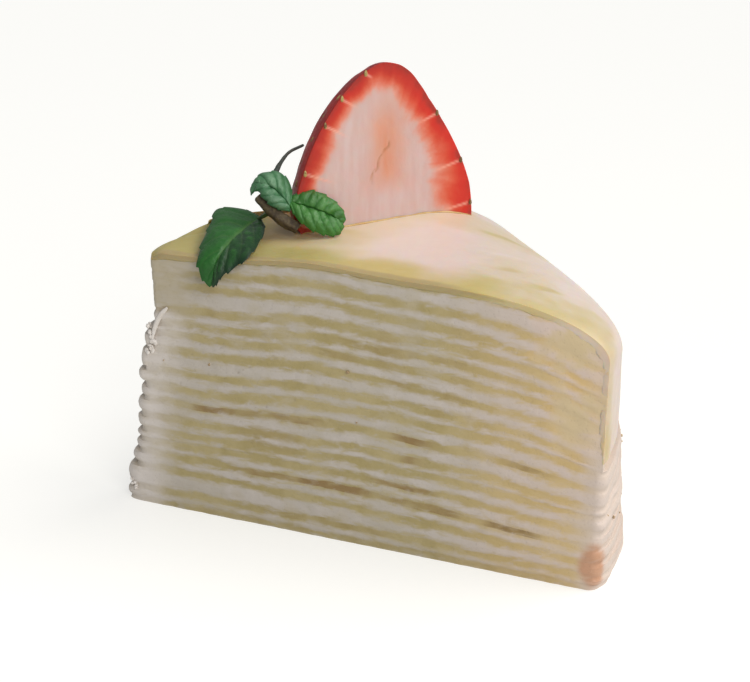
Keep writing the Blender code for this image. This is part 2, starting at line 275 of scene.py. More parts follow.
class MeshDraft:
    """Collects points, faces and painted values, and makes one object of them."""

    def __init__(self, name: str) -> None:
        """Starts an empty draft for a named piece.

        Args:
            name: The piece's name.
        """
        self.name = name
        self.points: list[Array] = []
        self.faces: list[tuple[int, ...]] = []
        self.paint: dict[str, list[Array]] = {}
        self.creases: list[Array] = []
        self.count = 0

    def add_points(self, points: Array, **paint: Any) -> Array:
        """Adds points with their painted values.

        Args:
            points: Places, with x, y and z last.
            paint: A value or an array of values for each painted name.

        Returns:
            The new points' numbers, in the shape of the places.
        """
        shape = points.shape[:-1]
        size = int(np.prod(shape))
        for label, values in paint.items():
            known = self.paint.setdefault(label, [np.zeros(self.count)] if self.count else [])
            known.append(np.broadcast_to(values, shape).reshape(size))
        for label, known in self.paint.items():
            if label not in paint:
                known.append(np.zeros(size))
        self.points.append(points.reshape(size, 3))
        numbers = np.arange(self.count, self.count + size).reshape(shape)
        self.count += size
        return numbers

    def grid(self, numbers: Array, closed: bool = False, turned: bool = False) -> None:
        """Joins a grid of points with four-sided faces.

        Args:
            numbers: Point numbers in rows and columns.
            closed: Whether the last column joins the first.
            turned: Whether the faces look the other way.
        """
        right = np.roll(numbers, -1, axis=1) if closed else numbers[:, 1:]
        left = numbers if closed else numbers[:, :-1]
        quads = np.stack((left[:-1], right[:-1], right[1:], left[1:]), -1).reshape(-1, 4)
        self.faces += [tuple(q) for q in (quads[:, ::-1] if turned else quads).tolist()]

    def triangle(self, corners: tuple[int, int, int], turned: bool) -> None:
        """Adds one triangle, turned over if asked."""
        a, b, c = (int(corner) for corner in corners)
        self.faces.append((c, b, a) if turned else (a, b, c))

    def zip_loops(self, outer: Array, inner: Array, turned: bool) -> None:
        """Joins two closed loops by triangles.

        Args:
            outer: Point numbers of the outer loop.
            inner: Point numbers of the inner loop, which has fewer.
            turned: Whether the faces look the other way.
        """
        ratio = len(inner) / len(outer)
        for i in range(len(outer)):
            k = (i + 1) % len(outer)
            near = int(i * ratio) % len(inner)
            far = int((i + 1) * ratio) % len(inner)
            self.triangle((outer[i], outer[k], inner[near]), turned)
            if near != far:
                self.triangle((outer[k], inner[far], inner[near]), turned)

    def fan(self, loop: Array, pole: Array, turned: bool = False, **paint: Any) -> None:
        """Closes a loop with triangles to a new point.

        Args:
            loop: Point numbers of the loop.
            pole: The new point's place.
            turned: Whether the faces look the other way.
            paint: The new point's painted values.
        """
        middle = int(self.add_points(pole[None, :], **paint)[0])
        for i in range(len(loop)):
            self.triangle((loop[i], loop[(i + 1) % len(loop)], middle), turned)

    def tube(self, rings: Array, poles: Sequence[Array], turned: bool = False, **paint: Any) -> None:
        """Adds a closed body of rings.

        Args:
            rings: Places of the rings' points, ring by ring.
            poles: The places that close its first and its last ring.
            turned: Whether the rings run the other way round.
            paint: The painted values of all its points.
        """
        numbers = self.add_points(rings, **paint)
        self.grid(numbers, closed=True, turned=turned)
        self.fan(numbers[0], poles[0], not turned, **paint)
        self.fan(numbers[-1], poles[1], turned, **paint)

    def two_faced(self, front: Array, rear: Array, between: Sequence[Array] = (),
                  turned: bool = False) -> None:
        """Joins two sheets of points into a closed body.

        Args:
            front: Point numbers of the sheet in front.
            rear: Point numbers of the sheet behind, in the same order.
            between: Loops round the border between the two, from the rear on.
            turned: Whether the sheets' rows and columns run the other way round.
        """
        self.grid(front, turned=turned)
        self.grid(rear, turned=not turned)
        border = border_of(*front.shape)
        self.grid(np.stack((rear[border], *between, front[border])), closed=True, turned=not turned)

    def make(self, shift: Vector, finish: bpy.types.Material) -> bpy.types.Object:
        """Makes the object.

        Args:
            shift: Where the cake's apex lies in the frame.
            finish: The piece's material.

        Returns:
            The object, smooth shaded, with its painted values as attributes.
        """
        places = np.vstack(self.points) + np.array(shift)
        mesh = bpy.data.meshes.new(self.name)
        mesh.from_pydata(places.tolist(), [], self.faces)
        mesh.update()
        for label, known in self.paint.items():
            values = mesh.attributes.new(label, "FLOAT", "POINT")
            values.data.foreach_set("value", np.concatenate(known).astype(np.float32))
        mesh.shade_smooth()
        self.sharpen(mesh)
        mesh.materials.append(finish)
        return linked(self.name, mesh)

    def sharpen(self, mesh: bpy.types.Mesh) -> None:
        """Marks the edges of every crease loop as sharp.

        Args:
            mesh: The mesh made of this draft.
        """
        if not self.creases:
            return
        ends = np.empty(2 * len(mesh.edges), dtype=np.int32)
        mesh.edges.foreach_get("vertices", ends)
        ends = np.sort(ends.reshape(-1, 2), axis=1).astype(np.int64)
        pairs = np.vstack([np.stack((loop, np.roll(loop, -1)), -1) for loop in self.creases])
        pairs = np.sort(pairs, axis=1)
        marks = np.isin(ends[:, 0] * self.count + ends[:, 1], pairs[:, 0] * self.count + pairs[:, 1])
        mesh.attributes.new("sharp_edge", "BOOLEAN", "EDGE").data.foreach_set("value", marks)


def linked(name: str, data: bpy.types.ID) -> bpy.types.Object:
    """A new object that holds the data, put in the scene.

    Args:
        name: The object's name.
        data: Its mesh, light or camera.

    Returns:
        The object.
    """
    made = bpy.data.objects.new(name, data)
    bpy.context.scene.collection.objects.link(made)
    return made


def settle(piece: bpy.types.Object, slot: str, *nodes: str) -> bpy.types.Object:
    """Hands a finished piece to the frame.

    Args:
        piece: The piece, in place.
        slot: Not used.
        nodes: The frame's solids that it stands for, if any.

    Returns:
        The same piece.
    """
    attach(piece, "root")
    if nodes:
        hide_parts(*nodes)
    LOG.info("%s: %d faces, stands for %s", piece.name, len(piece.data.polygons), nodes or "trim")
    return piece


# ---- Shader nodes ----------------------------------------------------------------------
class Effect(Enum):
    """The surface effects that several finishes share, by the names of their node groups."""

    CRUMB = "sponge_crumb"
    SMEAR = "knife_smear"
    MOTTLE = "slow_mottling"


class Sketch:
    """Places and joins shader nodes in one tree."""

    def __init__(self, tree: bpy.types.NodeTree) -> None:
        """Keeps the tree that the nodes go into."""
        self.tree = tree

    def node(self, kind: str, **settings: Any) -> bpy.types.Node:
        """Adds a node of a kind with its settings.

        Args:
            kind: Blender's name for its kind, without what all shader nodes share.
            settings: Its settings by name.

        Returns:
            The node.
        """
        made = self.tree.nodes.new(f"ShaderNode{kind}")
        for name, value in settings.items():
            setattr(made, name, value)
        return made

    def feed(self, node: bpy.types.Node, **values: Any) -> None:
        """Joins a node's inputs, by their names in lower case, to sockets or to values of their own."""
        for name, value in values.items():
            self.join(node.inputs[name.replace("_", " ").title()], value)

    def join(self, socket: Socket, value: Any) -> None:
        """Joins one input to a socket, or sets its own value.

        Args:
            socket: The input.
            value: A socket, a number or a colour.
        """
        if isinstance(value, bpy.types.NodeSocket):
            self.tree.links.new(value, socket)
        elif isinstance(value, tuple) and len(value) == 3 and socket.type == "RGBA":
            socket.default_value = (*value, 1.0)
        else:
            socket.default_value = value

    def painted(self, label: str) -> Socket:
        """A value painted on the mesh."""
        return self.node("Attribute", attribute_name=label).outputs["Fac"]

    def places(self) -> Socket:
        """The piece's own coordinates, in metres."""
        return self.node("TexCoord").outputs["Object"]

    def stretched(self, vector: Socket, scale: Point) -> Socket:
        """Coordinates scaled along each axis.

        Args:
            vector: The coordinates.
            scale: The factor for each axis.

        Returns:
            The scaled coordinates.
        """
        made = self.node("Mapping", vector_type="TEXTURE")
        self.feed(made, vector=vector, scale=tuple(1.0 / s for s in scale))
        return made.outputs["Vector"]

    def noise(self, vector: Socket, scale: Any, detail: float = 3.0, twist: float = 0.0) -> Socket:
        """Fractal noise from 0 to 1.

        Args:
            vector: The coordinates.
            scale: How many features there are to a metre.
            detail: How many finer noises are added.
            twist: How far the noise bends itself.

        Returns:
            The noise.
        """
        made = self.node("TexNoise")
        self.feed(made, vector=vector, scale=scale, detail=detail, distortion=twist)
        return made.outputs["Fac"]

    def cells(self, vector: Socket, scale: Any) -> Socket:
        """Distance to the nearest of scattered points.

        Args:
            vector: The coordinates.
            scale: How many points there are to a metre.

        Returns:
            The distance.
        """
        made = self.node("TexVoronoi")
        self.feed(made, vector=vector, scale=scale)
        return made.outputs["Distance"]

    def sum(self, operation: str, *values: Any) -> Socket:
        """One arithmetic step on two or three values.

        Args:
            operation: Blender's name for the step.
            values: The values.

        Returns:
            The result.
        """
        made = self.node("Math", operation=operation)
        for socket, value in zip(made.inputs, (*values, 0.0)):
            self.join(socket, value)
        return made.outputs[0]

    def times(self, first: Any, second: Any) -> Socket:
        """Product of two values."""
        return self.sum("MULTIPLY", first, second)

    def plus(self, first: Any, second: Any) -> Socket:
        """Sum of two values."""
        return self.sum("ADD", first, second)

    def less(self, first: Any, second: Any) -> Socket:
        """The first value less the second."""
        return self.sum("SUBTRACT", first, second)

    def scaled(self, value: Any, factor: float, base: Any) -> Socket:
        """A value times a factor, added to a base."""
        return self.sum("MULTIPLY_ADD", value, factor, base)

    def span(self, value: Any, low: float, high: float, start: float = 0.0,
             end: float = 1.0) -> Socket:
        """Value mapped smoothly from low..high to start..end, and held there.

        Args:
            value: The value.
            low: Where the result is start.
            high: Where the result is end.
            start: The first result.
            end: The last result.

        Returns:
            The result.
        """
        made = self.node("MapRange", interpolation_type="SMOOTHSTEP")
        self.feed(made, value=value, from_min=low, from_max=high, to_min=start, to_max=end)
        return made.outputs["Result"]

    def blend(self, share: Any, first: Any, second: Any) -> Socket:
        """Two colours mixed by a share.

        Args:
            share: Share of the second.
            first: A colour.
            second: Another colour.

        Returns:
            The mixed colour.
        """
        made = self.node("Mix", data_type="RGBA")
        for index, value in ((0, share), (6, first), (7, second)):
            self.join(made.inputs[index], value)
        return made.outputs[2]

    def number(self, share: Any, first: Any, second: Any) -> Socket:
        """Two values mixed by a share.

        Args:
            share: Share of the second.
            first: A value.
            second: Another value.

        Returns:
            The mixed value.
        """
        made = self.node("Mix", data_type="FLOAT")
        for index, value in ((0, share), (2, first), (3, second)):
            self.join(made.inputs[index], value)
        return made.outputs[0]

    def ramp(self, share: Socket, *stops: tuple[float, Colour]) -> Socket:
        """Colour that changes softly through the given stops.

        Args:
            share: How far along the stops it is, from 0 to 1.
            stops: A place and a colour for each.

        Returns:
            The colour.
        """
        made = self.node("ValToRGB")
        made.color_ramp.interpolation = "B_SPLINE"
        marks = made.color_ramp.elements
        while len(marks) < len(stops):
            marks.new(0.5)
        for mark, (position, colour) in zip(marks, stops):
            mark.position = position
            mark.color = (*colour, 1.0)
        self.feed(made, fac=share)
        return made.outputs["Color"]

    def effect(self, effect: Effect, **values: Any) -> dict[str, Socket]:
        """Places a shared effect with its own values, and gives its outputs by name.

        Args:
            effect: The effect.
            values: Its inputs' values by name.

        Returns:
            Its outputs by name.
        """
        made = self.node("Group", node_tree=EFFECTS.take(effect))
        self.feed(made, **values)
        return {socket.name: socket for socket in made.outputs}

    def mottle(self, scale: float, flecks: float) -> dict[str, Socket]:
        """Slow uneven colour with finer flecks in it."""
        return self.effect(Effect.MOTTLE, scale=scale, flecks=flecks)

    def smear(self, scale: float, amount: float) -> dict[str, Socket]:
        """Streaks that a knife drags along the cut."""
        return self.effect(Effect.SMEAR, scale=scale, amount=amount)

    def crumb(self, scale: float, holes: float) -> dict[str, Socket]:
        """Fine open crumb: small holes and grain."""
        return self.effect(Effect.CRUMB, scale=scale, holes=holes)


class Coat(Sketch):
    """Nodes of one material, around its Principled shader."""

    def __init__(self, name: str) -> None:
        """Starts a material by name.

        Args:
            name: The material's name.
        """
        self.material = bpy.data.materials.new(name)
        self.material.use_nodes = True
        super().__init__(self.material.node_tree)
        self.shader = self.tree.nodes["Principled BSDF"]

    def dress(self, colour: Socket, height: Socket, depth: float,
              roughness: Optional[Socket] = None) -> bpy.types.Material:
        """Feeds the shader.

        Args:
            colour: The surface's colour.
            height: Height of its relief, from 0 to 1.
            depth: What a height of 1 stands for, in millimetres.
            roughness: How rough it is, where that varies.

        Returns:
            The finished material.
        """
        relief = self.node("Bump")
        self.feed(relief, distance=depth * MM, height=height)
        self.feed(self.shader, base_color=colour, normal=relief.outputs["Normal"])
        if roughness is not None:
            self.feed(self.shader, roughness=roughness)
        return self.material


class EffectShelf:
    """Builds each shared effect once, as a node group, and hands it out."""

    def __init__(self) -> None:
        """Starts with no effect built."""
        self.made: dict[Effect, bpy.types.NodeTree] = {}

    def take(self, effect: Effect) -> bpy.types.NodeTree:
        """The node group of an effect.

        Args:
            effect: The effect.

        Returns:
            Its group, built at the first call.
        """
        if effect not in self.made:
            makers = {Effect.CRUMB: self.crumb, Effect.SMEAR: self.smear, Effect.MOTTLE: self.mottle}
            self.made[effect] = makers[effect](effect.value)
        return self.made[effect]

    @staticmethod
    def group(name: str, **wanted: float) -> tuple[Sketch, dict[str, Socket]]:
        """Starts a node group that gives a mask and a height.

        Args:
            name: The group's name.
            wanted: Its inputs and their usual values.

        Returns:
            A sketch of the group, and its inputs' values by name.
        """
        tree = bpy.data.node_groups.new(name, "ShaderNodeTree")
        for label, value in wanted.items():
            socket = tree.interface.new_socket(label, in_out="INPUT", socket_type="NodeSocketFloat")
            socket.default_value = value
        for label in ("Mask", "Height"):
            tree.interface.new_socket(label, in_out="OUTPUT", socket_type="NodeSocketFloat")
        source = tree.nodes.new("NodeGroupInput")
        return Sketch(tree), {label: source.outputs[label] for label in wanted}

    @staticmethod
    def close(sketch: Sketch, mask: Socket, height: Socket) -> bpy.types.NodeTree:
        """Feeds the group's outputs and gives the finished group."""
        sketch.feed(sketch.tree.nodes.new("NodeGroupOutput"), mask=mask, height=height)
        return sketch.tree

    def crumb(self, name: str) -> bpy.types.NodeTree:
        """Small holes and grain, under a name.

        Args:
            name: The group's name.

        Returns:
            The group.
        """
        sketch, given = self.group(name, Scale=900.0, Holes=0.3)
        places = sketch.places()
        grain = sketch.noise(places, given["Scale"], 4.0)
        holes = sketch.span(sketch.cells(places, given["Scale"]), 0.08, 0.34, 1.0, 0.0)
        pitted = sketch.times(holes, given["Holes"])
        return self.close(sketch, pitted, sketch.less(grain, pitted))

    def smear(self, name: str) -> bpy.types.NodeTree:
        """Streaks that run along, under a name.

        Args:
            name: The group's name.

        Returns:
            The group.
        """
        sketch, given = self.group(name, Scale=260.0, Amount=0.4)
        along = sketch.stretched(sketch.places(), (0.28, 0.28, 1.0))
        streaks = sketch.noise(along, given["Scale"], 4.0, 0.6)
        level = sketch.less(0.80, sketch.times(given["Amount"], 0.5))
        return self.close(sketch, sketch.span(sketch.less(streaks, level), -0.08, 0.10), streaks)

    def mottle(self, name: str) -> bpy.types.NodeTree:
        """Slow patches with flecks, under a name.

        Args:
            name: The group's name.

        Returns:
            The group.
        """
        sketch, given = self.group(name, Scale=80.0, Flecks=0.3)
        places = sketch.places()
        slow = sketch.span(sketch.noise(places, given["Scale"], 3.0, 0.4), 0.32, 0.68)
        fine = sketch.noise(places, sketch.times(given["Scale"], 9.0), 3.0)
        share = sketch.times(sketch.less(fine, 0.5), given["Flecks"])
        return self.close(sketch, sketch.plus(slow, share), fine)


EFFECTS = EffectShelf()


@dataclass(frozen=True)
class Gloss:
    """The constant side of a finish: how it shines and how deep light sinks in."""

    roughness: float = 0.5
    coat: float = 0.0
    coat_roughness: float = 0.2
    depth: float = 0.0
    glow: Colour = (1.0, 0.5, 0.3)
    specular: float = 0.5

    def start(self, name: str) -> Coat:
        """Starts a material with these constants.

        Args:
            name: The material's name.

        Returns:
            The coat of nodes around its shader.
        """
        coat = Coat(name)
        coat.feed(coat.shader, roughness=self.roughness, coat_weight=self.coat,
                  coat_roughness=self.coat_roughness)
        coat.shader.inputs["Specular IOR Level"].default_value = self.specular
        if self.depth:
            coat.feed(coat.shader, subsurface_weight=1.0, subsurface_scale=self.depth)
            coat.shader.inputs["Subsurface Radius"].default_value = self.glow
        return coat


# ---- Finishes --------------------------------------------------------------------------
@dataclass(frozen=True)
class LayerFinish:
    """Cut and folded edges of crepe and cream, which stain and smear each other, with painted shade in their
    pits and painted light that grows towards the rim.
    """

    cream: Colour = (0.573, 0.519, 0.468)
    cream_shade: Colour = (0.515, 0.465, 0.395)
    # Painted light and real colour: the right-end cream and crepe colours are the peach of the folds at the
    # rim, made lighter and warmer where light falls from the right.
    rim_lit_cream: Colour = (0.70, 0.565, 0.49)
    milk: Colour = (0.76, 0.70, 0.66)
    golden: Colour = (0.415, 0.335, 0.145)
    pale: Colour = (0.480, 0.395, 0.200)
    # Painted light and real colour, as for the right-end cream above.
    rim_lit_crepe: Colour = (0.68, 0.485, 0.225)
    browned: Colour = (0.30, 0.195, 0.075)
    peach: Colour = (0.67, 0.53, 0.32)
    blush: Colour = (0.69, 0.59, 0.545)
    caramel: Colour = (0.56, 0.31, 0.19)
    # Painted shade: the dark tint of pits and small holes.
    shaded_pit: Colour = (0.26, 0.205, 0.145)

    def build(self, name: str) -> bpy.types.Material:
        """The material of the crepes or of the cream, which is the same where they meet.

        Args:
            name: The material's name.

        Returns:
            The material.
        """
        coat = Gloss().start(name)
        mottle, smear, crumb = coat.mottle(130.0, 0.6), coat.smear(1000.0, 0.35), coat.crumb(1400.0, 0.4)
        ragged = coat.scaled(crumb["Height"], 0.5, coat.scaled(smear["Height"], 2.6, -1.3))
        share = coat.span(coat.plus(coat.painted("inside"), ragged), -0.85, 0.70)
        worn = coat.scaled(smear["Height"], 0.7, 0.08)
        share = coat.number(coat.painted("smear"), share, worn)
        # Painted light and real colour: the painted peach value turns cream and crepe lighter and warmer
        # towards the rim, and marks the peach folds there.
        right = coat.span(coat.painted("peach"), 0.05, 0.75)
        cream = coat.blend(mottle["Mask"], self.cream, self.cream_shade)
        crepe = coat.blend(right, coat.blend(mottle["Mask"], self.golden, self.pale), self.rim_lit_crepe)

        def patchy(label: str, effect: Socket, base: float) -> Socket:
            """A painted value, made uneven by an effect added to a base."""
            return coat.times(coat.painted(label), coat.plus(effect, base))

        brown = coat.span(patchy("brown", smear["Height"], 0.5), 0.05, 0.95)
        crepe = coat.blend(brown, crepe, self.browned)
        colour = coat.blend(share, coat.blend(right, cream, self.rim_lit_cream), crepe)
        # Painted shade: pits and small crumb holes are darkened as the shade in a recess.
        pit_shade = coat.sum("MAXIMUM", coat.painted("shaded_pit"), coat.times(crumb["Mask"], 0.3))
        for strength, tint in (
                # Peach tint: the folds at the rim, and painted light towards the rim.
                (coat.span(patchy("peach", mottle["Mask"], 0.5), 0.45, 1.3), self.peach),
                (coat.times(coat.painted("milk"), coat.number(share, 1.0, 0.55)), self.milk),
                (coat.painted("blush"), self.blush),
                (coat.span(patchy("caramel", smear["Height"], 0.4), 0.0, 1.0), self.caramel),
                (coat.times(pit_shade, 0.7), self.shaded_pit)):
            colour = coat.blend(strength, colour, tint)
        rough = coat.span(crumb["Height"], 0.2, 0.8, 0.60, 0.42)
        return coat.dress(colour, crumb["Height"], 0.08, rough)


@dataclass(frozen=True)
class TopCrepeFinish:
    """Smooth top crepe: pale peach, yellow along its cut edges, with a painted pinkish-white sheen that
    grows towards the rim, toasted patches, and painted shade.
    """

    peach: Colour = (0.73, 0.605, 0.45)
    # The blush colour is a painted pinkish-white sheen.
    blush: Colour = (0.79, 0.665, 0.60)
    yellow: Colour = (0.60, 0.49, 0.190)
    olive: Colour = (0.47, 0.40, 0.135)
    cut: Colour = (0.47, 0.375, 0.185)
    # The toast brown colours toasted patches, and also the painted shade on the near shoulder and the
    # painted shadow under the mint stem.
    toast_and_shade: Colour = (0.36, 0.215, 0.095)
    gloss: Gloss = Gloss(roughness=0.45, coat=0.10, coat_roughness=0.4, depth=0.0004,
                         glow=(1.0, 0.65, 0.35))

    def build(self) -> bpy.types.Material:
        """The top crepe's material.

        Returns:
            The material.
        """
        coat = self.gloss.start("top_crepe")
        mottle, crumb, smear = coat.mottle(45.0, 0.25), coat.crumb(700.0, 0.25), coat.smear(600.0, 0.3)
        drift = coat.less(mottle["Mask"], 0.5)
        colour: Any = self.peach
        # The painted blush value is a painted pinkish-white sheen; yellow and olive are the crepe's own
        # colour.
        for label, unevenness, tint in (("blush", 0.5, self.blush), ("yellow", -0.45, self.yellow),
                                        ("olive", -0.25, self.olive)):
            share = coat.scaled(drift, unevenness, coat.painted(label))
            colour = coat.blend(coat.span(share, 0.1, 1.0), colour, tint)
        ragged = coat.scaled(smear["Height"], 0.6, -0.3)
        cut = coat.scaled(coat.painted("cut"), 1.0, ragged)
        colour = coat.blend(coat.span(cut, 0.12, 0.80), colour, self.cut)
        # The toast value holds toasted patches, painted shade on the near shoulder and the painted shadow
        # under the mint stem.
        toast_and_shade = coat.times(coat.painted("toast_and_shade"), coat.plus(smear["Height"], 0.3))
        colour = coat.blend(toast_and_shade, colour, self.toast_and_shade)
        rough = coat.span(mottle["Height"], 0.3, 0.7, 0.38, 0.52)
        return coat.dress(colour, crumb["Height"], 0.04, rough)


@dataclass(frozen=True)
class BerryFinish:
    """Strawberry: a cut face that pales inwards, and a red seeded skin."""

    skin: Colour = (0.45, 0.012, 0.008)
    deep: Colour = (0.30, 0.010, 0.010)
    edge: Colour = (0.37, 0.034, 0.022)
    red: Colour = (0.68, 0.034, 0.017)
    orange: Colour = (0.76, 0.15, 0.065)
    blush: Colour = (0.76, 0.38, 0.30)
    flesh: Colour = (0.68, 0.485, 0.455)
    white: Colour = (0.70, 0.55, 0.53)
    core: Colour = (0.73, 0.32, 0.19)
    crack: Colour = (0.46, 0.17, 0.05)
    vein: Colour = (0.90, 0.50, 0.38)
    gloss: Gloss = Gloss(roughness=0.42, coat=0.08, coat_roughness=0.3, depth=0.0008,
                         glow=(1.0, 0.35, 0.25), specular=0.35)

    def build(self) -> bpy.types.Material:
        """The strawberry's material.

        Returns:
            The material.
        """
        coat = self.gloss.start("strawberry")
        mottle, crumb = coat.mottle(170.0, 0.6), coat.crumb(1100.0, 0.2)
        upright = coat.noise(coat.stretched(coat.places(), (1.0, 1.0, 0.16)), 620.0, 2.0)
        drift = coat.scaled(mottle["Mask"], 0.14, -0.07)
        rind = coat.plus(coat.painted("rind"), coat.scaled(coat.painted("rays"), 0.09, drift))
        red = coat.ramp(rind, (0.0, self.edge), (0.12, self.red), (0.30, self.red),
                        (0.56, self.orange), (0.80, self.blush), (1.0, self.flesh))
        dim = coat.times(coat.painted("dim"), coat.span(rind, 0.75, 0.0))
        red = coat.blend(dim, red, self.edge)
        flesh = coat.blend(coat.span(upright, 0.30, 0.75), self.flesh, self.white)
        colour = coat.blend(coat.span(rind, 0.72, 1.12), red, flesh)
        core = coat.times(coat.painted("core"), coat.plus(upright, 0.40))
        skin = coat.blend(mottle["Mask"], self.skin, self.deep)
        for share, tint in ((core, self.core), (coat.painted("vein"), self.vein),
                            (coat.painted("crack"), self.crack), (coat.painted("skin"), skin)):
            colour = coat.blend(share, colour, tint)
        wet = coat.span(mottle["Height"], 0.3, 0.7, 0.36, 0.52)
        return coat.dress(colour, coat.plus(crumb["Height"], upright), 0.04, wet)


@dataclass(frozen=True)
class SeedFinish:
    """Strawberry seeds, tan with darker ends."""

    tan: Colour = (0.46, 0.36, 0.12)
    dark: Colour = (0.16, 0.07, 0.02)

    def build(self) -> bpy.types.Material:
        """The seeds' material.

        Returns:
            The material.
        """
        coat = Gloss(roughness=0.35).start("strawberry_seed")
        mottle = coat.mottle(900.0, 0.6)
        colour = coat.blend(coat.span(mottle["Mask"], 0.2, 1.1), self.tan, self.dark)
        colour = coat.blend(coat.painted("dark"), colour, self.dark)
        return coat.dress(colour, mottle["Height"], 0.04)


@dataclass(frozen=True)
class LeafFinish:
    """Mint leaf: fresh green cells between paler veins, one half painted darker and bluer as shade, and
    painted glints on its swelling cells.
    """

    fresh: Colour = (0.012, 0.100, 0.013)
    # The dark green is the painted shade on one half of the leaf.
    dark: Colour = (0.0045, 0.024, 0.010)
    # The pale green is a painted glint on the swelling cells.
    pale: Colour = (0.036, 0.165, 0.028)
    vein: Colour = (0.085, 0.19, 0.050)
    gloss: Gloss = Gloss(roughness=0.45, specular=0.35)

    def build(self, name: str) -> bpy.types.Material:
        """The material of one leaf.

        Args:
            name: The material's name.

        Returns:
            The material.
        """
        coat = self.gloss.start(name)
        mottle, crumb = coat.mottle(320.0, 0.8), coat.crumb(2600.0, 0.2)
        # Painted shade: one half of the leaf is painted darker, and random patches darken it too.
        leaf_shade = coat.plus(coat.painted("leaf_shade"), coat.times(mottle["Mask"], 0.35))
        colour = coat.blend(coat.span(leaf_shade, 0.1, 1.1), self.fresh, self.dark)
        # Painted highlight: the swelling cells are painted paler, as glints.
        swell = coat.times(coat.painted("swell"), coat.plus(mottle["Height"], 0.1))
        colour = coat.blend(swell, colour, self.pale)
        colour = coat.blend(coat.painted("vein"), colour, self.vein)
        rough = coat.span(mottle["Height"], 0.3, 0.7, 0.36, 0.55)
        return coat.dress(colour, crumb["Height"], 0.08, rough)


@dataclass(frozen=True)
class PlainFinish:
    """A small piece's finish: two colours mottled together."""

    first: Colour
    second: Colour
    gloss: Gloss = Gloss()
    scale: float = 500.0
    relief: float = 0.05

    def build(self, name: str) -> bpy.types.Material:
        """The material.

        Args:
            name: Its name.

        Returns:
            The material.
        """
        coat = self.gloss.start(name)
        mottle = coat.mottle(self.scale, 0.6)
        colour = coat.blend(mottle["Mask"], self.first, self.second)
        usual = self.gloss.roughness
        rough = coat.span(mottle["Height"], 0.3, 0.7, 0.85 * usual, min(1.0, 1.2 * usual))
        return coat.dress(colour, mottle["Height"], self.relief, rough)


